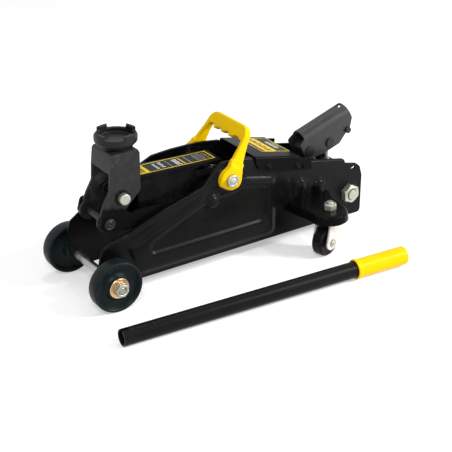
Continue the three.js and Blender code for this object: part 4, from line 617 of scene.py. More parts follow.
def plate_relief(x, z, plates):
    """Height of the pressed relief over the plate's flat face, in millimetres."""
    ridge, dome, bump = plates.ridge / MM, plates.dome / MM, plates.bump / MM
    ring = outline_depth(fillet(on_plate(RIDGE_OUTLINE), 12), x, z)
    recess = outline_depth(fillet(on_plate(RECESS_OUTLINE), 7), x, z)
    shoulder = np.sin(np.clip(ring / RIDGE_SHOULDER, 0, 1) * math.pi / 2)
    height = ridge * shoulder * (1 - step_up(-5.4, 0.6, recess))
    height -= 0.7 * step_up(2.0, 7.0, recess)
    height -= 0.7 * np.exp(-((ring + 2.0) / 2.2) ** 2)
    from_pivot = np.hypot(x - PIVOT[0], z - PIVOT[1])
    height -= 1.5 * np.exp(-((from_pivot - 13.0) / 2.8) ** 2)
    height = soft_top(height, (dome + 1.0) * round_top(from_pivot / DOME_RADIUS) - 1.0, 0.4)
    from_link = np.hypot(x - LINK_PAD[0], z - LINK_PAD[1])
    height = np.maximum(height, ridge * (1 - step_up(12.5, 17.0, from_link)))
    for centre, top in BUMPS:
        away = segment_distance(x, z, (centre, BUMP_FOOT), (centre, top - 10.0))
        height = soft_top(height, (bump + 1.2) * round_top(away / BUMP_RADIUS) - 1.0, 0.4)
    height += 1.1 * np.exp(-((x - RIB_X) / 1.7) ** 2) * step_up(52, 62, z) * (1 - step_up(90, 98, z))
    height -= 1.5 * np.exp(-((x - GROOVE_X) / 2.6) ** 2) * step_up(50, 57, z) * (1 - step_up(78, 85, z))
    from_bolt = np.hypot(x - REAR_BOLT[0], z - REAR_BOLT[1])
    height = np.maximum(height, 1.2 * (1 - step_up(14.4, 16.6, from_bolt)))
    return height


def spaced(points, gap):
    """An outline's points again, no further apart than the gap."""
    out = []
    count = len(points)
    for i in range(count):
        start, end = Vector(points[i]), Vector(points[(i + 1) % count])
        parts = max(1, math.ceil((end - start).length / gap))
        out += [tuple(start.lerp(end, k / parts)) for k in range(parts)]
    return out


def slot_outline(centre, length, width, lean):
    """A slot with round ends, leaning from the level."""
    points = []
    reach = (length - width) / 2
    for end, start in ((1, -math.pi / 2), (-1, math.pi / 2)):
        for k in range(9):
            turn = start + math.pi * k / 8
            u, v = end * reach + width / 2 * math.cos(turn), width / 2 * math.sin(turn)
            points.append((centre[0] + u * math.cos(lean) - v * math.sin(lean),
                           centre[1] + u * math.sin(lean) + v * math.cos(lean)))
    return points


def side_plate(name, side, shares, node, plates):
    """A pressed side plate: a sheet with the relief on both faces, rolled edges and a turned-in top lip."""
    outline = spaced(fillet(on_plate(shares), 8), 2.0)
    hole = slot_outline(TAG_SLOT, 9, 4, 0.4)
    edge = plates.edge / MM
    rims = []
    count = len(outline)
    for i, point in enumerate(outline):
        along = Vector(outline[(i + 1) % count]) - Vector(outline[i - 1])
        inward = Vector((-along.y, along.x)).normalized()
        rims += [Vector(point) + inward * edge * share for share in (0.12, 0.35, 0.65, 1.0)]
    rims = np.array([tuple(p) for p in rims])
    rims = rims[outline_depth(outline, rims[:, 0], rims[:, 1]) > 0.1 * edge]
    xs = np.arange(-PLATE_NOSE, PLATE_LENGTH - PLATE_NOSE, 1.0)
    zs = np.arange(PLATE_FLOOR - 3, PLATE_FLOOR + PLATE_HEIGHT + 1, 1.0)
    gx, gz = np.meshgrid(xs, zs, indexing="ij")
    relief = plate_relief(gx, gz, plates)
    bend = np.zeros_like(relief)
    bend[1:-1, :] += np.abs(relief[2:, :] + relief[:-2, :] - 2 * relief[1:-1, :])
    bend[:, 1:-1] += np.abs(relief[:, 2:] + relief[:, :-2] - 2 * relief[:, 1:-1])
    coarse = (np.arange(len(xs))[:, None] % 4 == 0) & (np.arange(len(zs))[None, :] % 4 == 0)
    middle = (np.arange(len(xs))[:, None] % 2 == 0) & (np.arange(len(zs))[None, :] % 2 == 0)
    depth = outline_depth(outline, gx, gz)
    clear = (depth > edge * 1.25) & (outline_depth(hole, gx, gz) < -0.6)
    keep = clear & (coarse | (middle & (bend > 0.012)) | (bend > 0.05))
    flat = [Vector(p) for p in outline] + [Vector(p) for p in hole]
    flat += [Vector(p) for p in rims] + [Vector(p) for p in np.stack([gx[keep], gz[keep]], -1)]
    edges = [(i, (i + 1) % count) for i in range(count)]
    edges += [(count + i, count + (i + 1) % len(hole)) for i in range(len(hole))]
    points, _, triangles = delaunay_2d_cdt(flat, edges, [], 0, 1e-4)[:3]
    flat = np.array([tuple(p) for p in points])
    triangles = np.array([tuple(t) for t in triangles])
    mid_x, mid_z = flat[triangles].mean(axis=1).T
    triangles = triangles[(outline_depth(outline, mid_x, mid_z) > 0) & (outline_depth(hole, mid_x, mid_z) < 0)]
    x, z = flat[:, 0], flat[:, 1]
    relief = plate_relief(x, z, plates)
    depth = np.clip(outline_depth(outline, x, z), 0, None)
    rolled = np.where(depth < edge, edge - np.sqrt(np.clip(edge ** 2 - (edge - depth) ** 2, 0, None)), 0)
    lip_ends = step_up(26, 30, x) * (1 - step_up(358, 361, x)) * step_up(70, 80, z)
    upward = step_up(0.25, 0.6, (outline_depth(outline, x, z - 1.5) - outline_depth(outline, x, z + 1.5)) / 3)
    lip = 2.6 * (1 - step_up(0.5, 4.5, depth)) * lip_ends * upward
    outer = side * (PLATE_OUTER + relief - rolled - lip * 0.35)
    inner = side * (PLATE_INNER + np.maximum(relief, -1.0) * 0.9 - lip)
    number = len(flat)
    verts = [place(a, b, c) for a, b, c in zip(x, outer, z)] + [place(a, b, c) for a, b, c in zip(x, inner, z)]
    front = triangles if side < 0 else triangles[:, ::-1]
    faces = [list(map(int, t)) for t in front] + [[int(i) + number for i in reversed(t)] for t in front]
    used = {}
    for t in front:
        for a, b in ((t[0], t[1]), (t[1], t[2]), (t[2], t[0])):
            used[(int(a), int(b))] = True
    for a, b in used:
        if (b, a) not in used:
            faces.append([b, a, a + number, b + number])
    new_piece(name, (verts, faces), "chassis", "gloss_black", (node,), 50)


# Cover plate
COVER_FRONT, COVER_TOP_REAR, COVER_REAR = 214.0, 283.0, 301.0
COVER_HALF, COVER_SHEET = 40.4, 2.0
COVER_DIMPLES = (231.5, 276.5)


def cover_top(x):
    return 137.0 - 0.2133 * (x - COVER_FRONT)


def cover_sheet(low_x, high_x, with_top, bottom_drop):
    """A run of the cover's sheet: flanges on both sides and, in front, the top that joins them."""
    flange, bend, lean = 15, 3.0, 1.9

    def section(x, inset):
        """Half of the sheet's line across, from the flange's foot to the top."""
        drop = bottom_drop(x) - 0.4
        line = []
        for k in range(flange):
            fall = drop - (drop - bend) * (k / (flange - 1))
            line.append((COVER_HALF - inset + lean * (fall - bend) / 15.0, -fall))
        for k in range(1, 8 if with_top else 1):
            turn = math.pi / 2 * k / 7
            reach = bend - inset
            line.append((COVER_HALF - bend + reach * math.cos(turn), -bend + reach * math.sin(turn)))
        return line

    def dimples(x, drop):
        rise = 0.0
        for along in COVER_DIMPLES:
            away = math.hypot(x - along, drop + 12.5) / 3.4
            rise += 1.9 * math.exp(-away ** 2.2)
        return rise

    steps = max(2, round((high_x - low_x) / 1.5))
    stations = [low_x + (high_x - low_x) * k / steps for k in range(steps + 1)]
    verts, faces = [], []
    for mirror in (-1, 1):
        for inset in (0.0, COVER_SHEET):
            for x in stations:
                for y, drop in section(x, inset):
                    verts.append(place(x, mirror * (y + dimples(x, drop)), cover_top(x) + drop))
    row = len(section(low_x, 0))

    def quad(flip, *corners):
        """A face between four points, each given by its side, skin, station and place in the section."""
        loop = [((m * 2 + skin) * len(stations) + i) * row + j for m, skin, i, j in corners]
        faces.append(loop[::-1] if flip else loop)

    for m in (0, 1):
        for i in range(steps):
            for j in range(row - 1):
                quad(m, (m, 0, i, j), (m, 0, i + 1, j), (m, 0, i + 1, j + 1), (m, 0, i, j + 1))
                quad(m, (m, 1, i, j), (m, 1, i, j + 1), (m, 1, i + 1, j + 1), (m, 1, i + 1, j))
            quad(m, (m, 0, i, 0), (m, 1, i, 0), (m, 1, i + 1, 0), (m, 0, i + 1, 0))
            if not with_top:
                j = row - 1
                quad(m, (m, 0, i, j), (m, 0, i + 1, j), (m, 1, i + 1, j), (m, 1, i, j))
        for i in (0, steps):
            for j in range(row - 1):
                quad((i > 0) == (m == 0), (m, 0, i, j), (m, 0, i, j + 1), (m, 1, i, j + 1), (m, 1, i, j))
    if with_top:
        j = row - 1
        for i in range(steps):
            quad(False, (0, 0, i, j), (0, 0, i + 1, j), (1, 0, i + 1, j), (1, 0, i, j))
            quad(False, (0, 1, i, j), (1, 1, i, j), (1, 1, i + 1, j), (0, 1, i + 1, j))
        for i in (0, steps):
            quad(i, (0, 0, i, j), (1, 0, i, j), (1, 1, i, j), (0, 1, i, j))
    return verts, faces


# Labels: plain bars on a film

def lie_on(carrier, x, y, lift):
    """The spot on top of a piece, straight under a place of the jack."""
    to_piece = carrier.matrix_world.inverted()
    start = to_piece @ place(x, y, 400)
    hit, spot, _, _ = carrier.ray_cast(start, to_piece.to_3x3() @ Vector((0, 0, -1)))
    if not hit:
        raise ValueError(f"no surface of {carrier.name} under the label at {x}, {y}")
    spot = carrier.matrix_world @ spot
    return spot + Vector((0, 0, lift))


def film_patch(carrier, low, high, lift, rows=2):
    """A rectangle of film in X and Y that lies on a piece."""
    (x0, y0), (x1, y1) = low, high
    columns = max(1, round((x1 - x0) / 6))
    verts, faces = [], []
    for level in (lift, lift - 0.04 * MM):
        for i in range(columns + 1):
            for j in range(rows + 1):
                x, y = x0 + (x1 - x0) * i / columns, y0 + (y1 - y0) * j / rows
                verts.append(lie_on(carrier, x, y, level))
    row = rows + 1
    block = row * (columns + 1)
    for i in range(columns):
        for j in range(rows):
            a = i * row + j
            faces.append([a, a + row, a + row + 1, a + 1])
            faces.append([block + a, block + a + 1, block + a + row + 1, block + a + row])
    rim = [i * row for i in range(columns + 1)] + [columns * row + j for j in range(1, row)]
    rim += [i * row + rows for i in range(columns - 1, -1, -1)] + [j for j in range(rows - 1, 0, -1)]
    for a, b in zip(rim, rim[1:] + rim[:1]):
        faces.append([b, a, block + a, block + b])
    return verts, faces


def label(name, carrier, body, corners, print_bars, settings):
    """A film with its printed bars: one piece for the film and one for each colour of print."""
    (x0, y0), (x1, y1) = corners
    film = settings.film
    new_piece(name, film_patch(carrier, (x0, y0), (x1, y1), film, 4), body, "film_black")
    border = settings.border / MM
    edge = 0.6
    x0, y0, x1, y1 = x0 + edge, y0 + edge, x1 - edge, y1 - edge
    yellow = [((x0, y0), (x1, y0 + border)), ((x0, y1 - border), (x1, y1)),
              ((x0, y0 + border), (x0 + border, y1 - border)), ((x1 - border, y0 + border), (x1, y1 - border))]
    bars = {"film_yellow": yellow, "film_white": [], "film_black": []}
    for finish_name, low, high in print_bars:
        bars[finish_name].append((low, high))
    for finish_name, lift in (("film_yellow", 0.06), ("film_white", 0.06), ("film_black", 0.12)):
        patches = [film_patch(carrier, low, high, film + lift * MM, 1) for low, high in bars[finish_name]]
        if patches:
            new_piece(f"{name}_{finish_name.split('_')[1]}_print", joined(*patches), body, finish_name)


class JackColours(bpy.types.PropertyGroup):
    """Colours of the jack's main finishes."""
    paint: bpy.props.FloatVectorProperty(
        name="Paint", description="Gloss paint on the frame", subtype="COLOR", size=3, default=(0.0035, 0.0035, 0.0037))
    plastic: bpy.props.FloatVectorProperty(
        name="Plastic", description="Moulded handle and grip", subtype="COLOR", size=3, default=(0.98, 0.62, 0.0))
    zinc: bpy.props.FloatVectorProperty(
        name="Zinc", description="Plated bolts and nuts", subtype="COLOR", size=3, default=(0.5, 0.51, 0.43))
    label: bpy.props.FloatVectorProperty(
        name="Label print", description="Yellow bars on the labels", subtype="COLOR", size=3, default=(0.86, 0.6, 0.0))


class JackPlates(bpy.types.PropertyGroup):
    """The pressed relief of the side plates."""
    ridge: bpy.props.FloatProperty(
        name="Ridge", description="Height of the ridge round the recess", unit="LENGTH", default=3.2 * MM, min=0)
    dome: bpy.props.FloatProperty(
        name="Dome", description="Height of the dome over the main pivot", unit="LENGTH", default=7.5 * MM, min=0)
    bump: bpy.props.FloatProperty(
        name="Bumps", description="Height of the two bumps over the wing", unit="LENGTH", default=5.0 * MM, min=0)
    edge: bpy.props.FloatProperty(
        name="Edge radius", description="Rounding of the plate's outer edge", unit="LENGTH", default=2.0 * MM, min=0)


class JackLabels(bpy.types.PropertyGroup):
    """The plain labels on the arm and the cover."""
    film: bpy.props.FloatProperty(
        name="Film", description="Height of the label over its paint", unit="LENGTH", default=0.12 * MM, min=0)
    border: bpy.props.FloatProperty(
        name="Border", description="Width of the yellow border", unit="LENGTH", default=1.3 * MM, min=0)


class JackHandle(bpy.types.PropertyGroup):
    """The carry handle's moulded form."""
    grain: bpy.props.FloatProperty(
        name="Blend size", description="Cell size that rounds the moulding", unit="LENGTH", default=0.8 * MM,
        min=0.3 * MM)
    rounds: bpy.props.IntProperty(
        name="Smoothing", description="Times that the moulding is smoothed", default=8, min=0, max=40)


class JackStage(bpy.types.PropertyGroup):
    """The studio and its camera."""
    lens: bpy.props.FloatProperty(
        name="Lens", description="Focal length in millimetres on a 36 mm sensor", default=93.26, min=20, max=300)
    world_level: bpy.props.FloatProperty(
        name="World level", description="Light from all round", default=0.42, min=0, max=2)


class JACK_OT_finishes(bpy.types.Operator):
    """Give every carried-over piece its finish and soft edges"""
    bl_idname = "jack.finishes"
    bl_label = "Finishes"

    def execute(self, context):
        build_finishes(context.scene.jack_colours)
        for finish_name, names in NODE_FINISH.items():
            for name in names:
                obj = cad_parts[name]
                obj.data.materials.clear()
                obj.data.materials.append(FINISHES[finish_name])
                soften(obj)
        return {"FINISHED"}


SIDES = (("left", -1), ("right", 1))


def jack_box(node):
    """A CAD node's lowest and highest corners in the jack's own millimetres."""
    return [((corner.x - AXLE.x) / MM, (corner.y - AXLE.y) / MM, corner.z / MM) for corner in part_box(node)]


def side_span(node):
    """A side node's centre in X and Z, and its inner and outer distance from the jack's middle."""
    low, high = jack_box(node)
    return (low[0] + high[0]) / 2, (low[2] + high[2]) / 2, *sorted((abs(low[1]), abs(high[1])))


def cross_bolt(node):
    """A bolt's centre in X and Z and its half length across the jack."""
    low, high = jack_box(node)
    return (low[0] + high[0]) / 2, (low[2] + high[2]) / 2, high[1]


class JACK_OT_side_plates(bpy.types.Operator):
    """Press both side plates with their ridges, dome, bumps and rolled edges"""
    bl_idname = "jack.side_plates"
    bl_label = "Side Plates"

    def execute(self, context):
        plates = context.scene.jack_plates
        side_plate("left_pressed_plate", -1, LEFT_OUTLINE, "left_side_plate", plates)
        side_plate("right_pressed_plate", 1, RIGHT_OUTLINE, "right_side_plate", plates)
        return {"FINISHED"}


class JACK_OT_cover(bpy.types.Operator):
    """Fold the cover plate over the side plates, with its dimples and slit tabs"""
    bl_idname = "jack.cover"
    bl_label = "Cover Plate"

    def execute(self, context):
        slit_start, slit_end, drop = 285.2, 287.4, 19.5

        def front_drop(x):
            return drop - 11.0 * max(0.0, 1 - (x - COVER_FRONT) / 9.0) ** 2

        runs = [
            cover_sheet(COVER_FRONT, COVER_TOP_REAR, True, front_drop),
            cover_sheet(COVER_TOP_REAR, slit_start, False, lambda x: drop),
            cover_sheet(slit_start, slit_end, False, lambda x: 10.0),
            cover_sheet(slit_end, COVER_REAR, False, lambda x: 18.4),
        ]
        new_piece("folded_cover", joined(*runs), "chassis", "cover_black_and_arm_shade", ("cover_plate",), 40)
        return {"FINISHED"}


class JACK_OT_wings(bpy.types.Operator):
    """Round the pressed caster wings"""
    bl_idname = "jack.wings"
    bl_label = "Caster Wings"

    def execute(self, context):
        for name, _ in SIDES:
            softened_copy(f"{name}_rounded_wing", f"caster_wing_{name}", "chassis", "cover_black_and_arm_shade", 0.9 * MM, 14)
        return {"FINISHED"}


class JACK_OT_castings(bpy.types.Operator):
    """Round the saddle, the power unit's base and the ram's crosshead like castings"""
    bl_idname = "jack.castings"
    bl_label = "Castings"

    def execute(self, context):
        softened_copy("cast_saddle", "saddle_cup", "saddle", "cast_dark", 0.8 * MM, 4)
        softened_copy("cast_power_base", "power_unit_base", "chassis", "cast_dark", 1.3 * MM, 3)
        softened_copy("cast_crosshead", "ram_crosshead", "ram", "cast_dark", 1.2 * MM, 3)
        return {"FINISHED"}


# The carry handle leans back from upright by this much, in radians
HANDLE_LEAN = 0.56


def on_handle(across, up, wide):
    """A place on the handle, from the middle between its eyes: across the jack, up the legs and along them."""
    sin, cos = math.sin(HANDLE_LEAN), math.cos(HANDLE_LEAN)
    return place(LINK_PAD[0] + up * sin + wide * cos, across, LINK_PAD[1] + up * cos - wide * sin)


def draw_in(spot):
    """Leans the handle's legs in, rounds its corners towards the top and lengthens it a little."""
    sin, cos = math.sin(HANDLE_LEAN), math.cos(HANDLE_LEAN)
    up = ((spot.x - AXLE.x) / MM - LINK_PAD[0]) * sin + (spot.z / MM - LINK_PAD[1]) * cos
    legs = min(max((up - 20) / 44.5, 0), 1)
    corner = min(max((up - 44) / 20.5, 0), 1)
    y = AXLE.y + (spot.y - AXLE.y) * (1 - 0.07 * legs - 0.13 * corner ** 3)
    taller = 2.4 * legs * MM
    return Vector((spot.x + taller * sin, y, spot.z + taller * cos))


class JACK_OT_carry_handle(bpy.types.Operator):
    """Mould the carry handle with its finger grips, and turn its ringed bolts"""
    bl_idname = "jack.carry_handle"
    bl_label = "Carry Handle"

    def execute(self, context):
        handle = context.scene.jack_handle
        grip = [(-37.0, 56.0), (-37.0, 48.0), (-26.0, 48.6)]
        for k in range(3):
            start = -25.5 + 17.0 * k
            grip += [(start + 1.0, 48.8), (start + 8.0, 46.8), (start + 15.6, 44.2)]
        grip += [(26.5, 48.6), (37.0, 48.0), (37.0, 56.0)]
        extra = [slab(grip, -4.7, 4.7, on_handle)]
        root = [(-10.4, 13.0), (10.4, 13.0), (10.6, 22.0), (8.0, 24.0), (-8.0, 24.0), (-10.6, 22.0)]
        half = cross_bolt("carry_handle")[2]
        for _, side in SIDES:
            eye = side * (half - 8.0)
            ends = sorted((eye - side * 0.8, eye + side * 4.6))
            extra.append(slab(root, *ends, lambda wide, up, across: on_handle(across, up, wide)))
        softened_copy("moulded_carry_handle", "carry_handle", "bail", "yellow_plastic", handle.grain, handle.rounds,
                      extra, draw_in)
        rings = [(0, -12), (3.7, -12), (3.7, -4.6), (8.2, -4.6), (8.2, -2.0), (7.8, -1.1), (6.9, -0.5), (6.1, -0.6),
                 (5.7, -1.3), (5.2, -1.7), (4.6, -1.6), (4.2, -0.9), (3.4, -0.3), (1.8, -0.05), (0, 0)]
        for name, side in SIDES:
            x, z, _, outer = side_span(f"bail_bolt_{name}")
            bolt = across_jack(lathe(rings, 48), x, z, side, outer)
            new_piece(f"{name}_handle_bolt", bolt, "chassis", "zinc", (f"bail_bolt_{name}",), 50)
        return {"FINISHED"}


WHEEL_WIDTH = 17.0


class JACK_OT_front_wheels(bpy.types.Operator):
    """Turn the front wheels with their stepped rims, and their washers and nuts"""
    bl_idname = "jack.front_wheels"
    bl_label = "Front Wheels"

    def execute(self, context):
        for name, side in SIDES:
            x, z, inner, outer = side_span(f"front_wheel_{name}")
            wide = outer - inner
            rim = wide - WHEEL_WIDTH
            profile = [
                (5.8, 0), (10.4, 0), (11, 0.6), (11.4, rim + 4.4), (12.2, rim + 5), (26, rim + 5), (27, rim + 4.4),
                (28, rim + 0.8), (29, rim + 0.1), (30.8, rim), (31.6, rim + 0.5), (32, rim + 1.6),
                (32, wide - 1.8), (31.6, wide - 0.6), (30.9, wide), (29.8, wide), (29.2, wide - 0.3),
                (28.8, wide - 1.3), (28.3, wide - 1.5), (27.6, wide - 2.0), (27.2, wide - 4.6), (26.4, wide - 5.1),
                (17.6, wide - 5.1), (16.4, wide - 4.6), (15.0, wide - 1.9), (14.2, wide - 1.3), (13.2, wide - 1.1),
                (5.8, wide - 1.1),
            ]
            wheel = across_jack(lathe(profile, 96, closed=True), x, z, side, inner)
            new_piece(f"{name}_front_wheel", wheel, f"wheel_{name}", "wheel_black", (f"front_wheel_{name}",), 50)
            x, z, inner, outer = side_span(f"axle_washer_{name}")
            thick = outer - inner
            ring = [(5.8, 0), (12.5, 0), (12.8, 0.4), (12.8, thick - 0.5), (12.3, thick), (5.8, thick)]
            washer = across_jack(lathe(ring, 56, closed=True), x, z, side, inner)
            new_piece(f"{name}_axle_washer", washer, "chassis", "yellow_zinc", (f"axle_washer_{name}",), 40)
            x, z, inner, outer = side_span(f"axle_nut_{name}")
            nut = joined(hex_nut(8.8, outer - inner, 5.0), threaded_end(4.6, 0.5, outer - inner - 0.9))
            nut = across_jack(nut, x, z, side, inner, 0.3)
            new_piece(f"{name}_axle_nut", nut, "chassis", "zinc", (f"axle_nut_{name}",), 30)
        return {"FINISHED"}


CASTER_X, CASTER_Y, CASTER_TURN, CASTER_TRAIL, WING_TOP = 299.0, 85.0, 0.28, 8.5, 61.5


def spread(side, along, out):
    """A move that widens a caster's piece along its roll and across it, from the wheel's own centre."""
    turn = -side * CASTER_TURN
    cos, sin = math.cos(turn), math.sin(turn)

    def move(spot):
        x, y = (spot.x - AXLE.x) / MM - CASTER_X, (spot.y - AXLE.y) / MM - side * CASTER_Y
        a, b = x * cos + y * sin, y * cos - x * sin
        a, b = (a + CASTER_TRAIL) * along - CASTER_TRAIL, b * out
        moved = place(CASTER_X + a * cos - b * sin, side * CASTER_Y + a * sin + b * cos, 0)
        return Vector((moved.x, moved.y, spot.z))

    return move


class JACK_OT_casters(bpy.types.Operator):
    """Round the caster forks, wheels and rivets, and turn their studs and nuts"""
    bl_idname = "jack.casters"
    bl_label = "Casters"

    def execute(self, context):
        for name, side in SIDES:
            softened_copy(f"{name}_caster_fork", f"caster_fork_{name}", f"swivel_{name}", "fork_white", 0.6 * MM, 2,
                          reshape=spread(side, 1.12, 1.18))
            softened_copy(f"{name}_caster_rivet", f"caster_axle_{name}", f"swivel_{name}", "zinc", 0.5 * MM, 2,
                          reshape=spread(side, 1.0, 1.19))
            softened_copy(f"{name}_caster_tread", f"caster_wheel_{name}", f"roller_{name}", "tube_black", 0.7 * MM, 3,
                          reshape=spread(side, 1.0, 1.18))
            low, high = jack_box(f"caster_stud_{name}")
            foot, top, race = low[2], high[2], WING_TOP - 3.02
            stem = lathe([(0, foot), (8, foot), (8, foot + 1.8), (5, foot + 1.8), (5, 46.3), (13, 46.3), (13, race),
                          (5, race), (5, top - 2.0), (4.4, top - 1.9), (4.4, top)], 48)
            nut = joined(hex_nut(8.6, 8.0, 5.0, 0.84), threaded_end(4.7, 6.0, top - WING_TOP))
            stud = joined(in_line(stem, (CASTER_X, side * CASTER_Y, 0), UPRIGHT),
                          in_line(nut, (CASTER_X, side * CASTER_Y, WING_TOP), UPRIGHT, 0.5))
            new_piece(f"{name}_caster_stud_nut", stud, "chassis", "zinc", (f"caster_stud_{name}",), 30)
        return {"FINISHED"}


class JACK_OT_fasteners(bpy.types.Operator):
    """Turn the bolts of the saddle bracket and the nuts of the rear bolt"""
    bl_idname = "jack.fasteners"
    bl_label = "Bolts and Nuts"

    def execute(self, context):
        x, z, half = cross_bolt("saddle_pivot_bolt")
        head = [(7.0, -2.8), (7.0, -1.0), (6.6, -0.5), (5.6, -0.4), (5.2, -0.9), (4.6, -1.2), (4.1, -0.9), (3.6, -0.4),
                (2.4, -0.2), (2.0, -0.7), (1.2, -0.8), (0, -0.8)]
        right_end = [(5.5, half - 2.8), *((r, h + half) for r, h in head)]
        left_end = [(r, -h) for r, h in reversed(right_end)]
        bolt = across_jack(lathe(left_end + right_end, 48), x, z)
        new_piece("ringed_pivot_bolt", bolt, "lift_arm", "dark_steel", ("saddle_pivot_bolt",), 50)
        x, z, half = cross_bolt("upper_link_bolt")
        cap = [(0, -7.2), (6.9, -7.2), (7.2, -6.6), (7.2, -1.5), (6.8, -0.5), (6.0, -0.1), (4.5, 0), (0, 0)]
        caps = joined(*(across_jack(lathe(cap, 48), x, z, side, half) for _, side in SIDES))
        new_piece("silver_upper_bolt_heads", caps, "saddle_carrier", "zinc", ("upper_link_bolt",), 50)
        # The shank between the silver heads is black: painted shade for the dark inside of the saddle bracket.
        shade_black_shank = lathe([(0, 7.1 - half), (5, 7.1 - half), (5, half - 7.1), (0, half - 7.1)], 48)
        new_piece("upper_bolt_shank_painted_shade", across_jack(shade_black_shank, x, z), "saddle_carrier", "gloss_black", (), 50)
        teeth = []
        for k in range(96):
            turn, reach = math.tau * k / 96, 9.9 if (k // 4) % 2 else 8.3
            teeth.append((reach * math.cos(turn), reach * math.sin(turn)))
        washer = slab(teeth, 0.0, 1.3, lambda a, b, c: Vector((a, b, c)))
        for name, side in SIDES:
            new_piece(f"{name}_toothed_washer", across_jack(washer, x, z, side, half - 8.3), "saddle_carrier",
                      "gloss_black", (), 30)
            nut_x, nut_z, inner, outer = side_span(f"rear_nut_{name}")
            nut = across_jack(hex_nut(13.0, outer - inner, 7.0, 0.86), nut_x, nut_z, side, inner, 0.12)
            new_piece(f"{name}_rear_nut", nut, "chassis", "zinc", (f"rear_nut_{name}",), 30)
        return {"FINISHED"}


class JACK_OT_lever_grip(bpy.types.Operator):
    """Mould the lever's grip"""
    bl_idname = "jack.lever_grip"
    bl_label = "Lever Grip"

    def execute(self, context):
        softened_copy("moulded_lever_grip", "lever_grip", "lever", "yellow_plastic", 0.9 * MM, 4)
        return {"FINISHED"}


def arm_bars():
    """The printed bars of the arm's label, each with its finish and its corners in X and Y."""
    white, yellow, black = "film_white", "film_yellow", "film_black"
    bars = [(yellow, (62, -11.5), (79.5, 11.5)), (yellow, (129.0, -10.5), (130.6, 9))]
    bars += [(black, (64 + 4 * k, -9.5), (66.2 + 4 * k, 9.0 - 2.5 * (k % 2))) for k in range(3)]
    for row, (x0, x1) in enumerate(((91.5, 95.5), (99.5, 104.0))):
        for k in range(5):
            y = 3.4 * k + row
            bars.append((white, (x0, y - 8.5), (x1 - 0.8 * (k % 2), y - 6.1)))
    bars += [(white, (x, -10), (x + 0.5, 10)) for x in (111.0, 137.5)]
    bars += [(white, (119.0, -9.5 + 3.6 * k), (126.5 - 1.2 * (k % 2), -6.8 + 3.6 * k)) for k in range(5)]
    for k in range(7):
        x = 149 + 2.7 * k
        bars += [(white, (x, -9.5 + 3.2 * i), (x + 1.1, -7.6 + 3.2 * i - 0.5 * (k % 3))) for i in range(6)]
    return bars


def cover_bars():
    """The printed bars of the cover's label."""
    white, yellow, black = "film_white", "film_yellow", "film_black"
    bars = [(yellow, (243.5, -19), (261.5, 31))]
    bars += [(black, (249.0, -15 + 5.6 * k), (256.5 - 2.0 * (k % 2), -11.6 + 5.6 * k)) for k in range(8)]
    bars += [(white, (267.0 + 0.8 * (k % 2), -8 + 4.4 * k), (273.5, -4.6 + 4.4 * k)) for k in range(6)]
    bars += [(yellow, (275.6, -1 + 3.2 * k), (278.6, 0.8 + 3.2 * k)) for k in range(5)]
    return bars


class JACK_OT_labels(bpy.types.Operator):
    """Lay the two plain labels, with bars for print"""
    bl_idname = "jack.labels"
    bl_label = "Labels"

    def execute(self, context):
        settings = context.scene.jack_labels
        bpy.context.view_layer.update()
        channel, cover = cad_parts["lift_arm_channel"], bpy.data.objects["folded_cover"]
        label("arm_label", channel, "lift_arm", ((58.5, -13.6), (172.0, 13.6)), arm_bars(), settings)
        label("cover_label", cover, "chassis", ((237.0, -21.5), (281.5, 33.5)), cover_bars(), settings)
        return {"FINISHED"}


# Stage: lamps as place, size and watts in the frame, and the camera fitted to the photograph in the jack's millimetres
LAMPS = {
    "key softbox": ((-0.9, -1.1, 1.5), (0.3, 0.3), 10.5),
    "top softbox": ((0.2, 0.5, 1.7), (0.3, 0.3), 4),
    "side softbox": ((1.15, -1.0, 0.85), (0.2, 0.26), 18),
    "upper side softbox": ((0.95, -1.15, 1.45), (0.15, 0.18), 8),
}
LAMP_TARGET = Vector((0.0, 0.0, 0.08))
FLOOR_HALF, FLOOR_DROP, FLOOR_GLOW = 6.0, 0.2 * MM, 0.42
EYE = (-564.43, -1124.60, 707.91)
AZIMUTH, ELEVATION = math.radians(-34.08), math.radians(26.52)


def seen_directly(net):
    """1 on what the camera sees, mirrored or through glass too, and 0 for light that only bounces."""
    path = net.node("ShaderNodeLightPath").outputs
    seen = net.maths("MAXIMUM", path["Is Camera Ray"], path["Is Glossy Ray"])
    return net.maths("MAXIMUM", seen, path["Is Transmission Ray"])


def build_floor(scene):
    mesh = bpy.data.meshes.new("studio_floor")
    corners = [(x * FLOOR_HALF, y * FLOOR_HALF, 0) for x, y in ((-1, -1), (1, -1), (1, 1), (-1, 1))]
    mesh.from_pydata(corners, [], [(0, 1, 2, 3)])
    floor = bpy.data.objects.new("studio_floor", mesh)
    floor.location.z = -FLOOR_DROP
    scene.collection.objects.link(floor)
    material = bpy.data.materials.new("pale studio floor")
    material.use_nodes = True
    net = Net(material.node_tree)
    shader = net.nodes["Principled BSDF"].inputs
    for key, value in (("Base Color", (0.82, 0.82, 0.82, 1)), ("Roughness", 0.9), ("Specular IOR Level", 0.0),
                       ("Emission Color", (1, 1, 1, 1)),
                       ("Emission Strength", net.maths("MULTIPLY", seen_directly(net), FLOOR_GLOW))):
        net.put(value, shader[key])
    mesh.materials.append(material)


def build_world(scene, level):
    world = bpy.data.worlds.new("pale studio")
    scene.world = world
    world.use_nodes = True
    net = Net(world.node_tree)
    background = net.nodes["Background"].inputs
    net.put((1, 1, 1, 1), background["Color"])
    strength = net.node("ShaderNodeMapRange", {"Value": seen_directly(net), "To Min": level, "To Max": 1.0})
    net.put(strength.outputs["Result"], background["Strength"])


def build_lamp(scene, name, spot, size, watts):
    data = bpy.data.lights.new(name, "AREA")
    data.shape = "RECTANGLE"
    data.size, data.size_y = size
    data.energy = watts
    lamp = bpy.data.objects.new(name, data)
    lamp.location = spot
    lamp.rotation_euler = (LAMP_TARGET - Vector(spot)).to_track_quat("-Z", "Y").to_euler()
    scene.collection.objects.link(lamp)


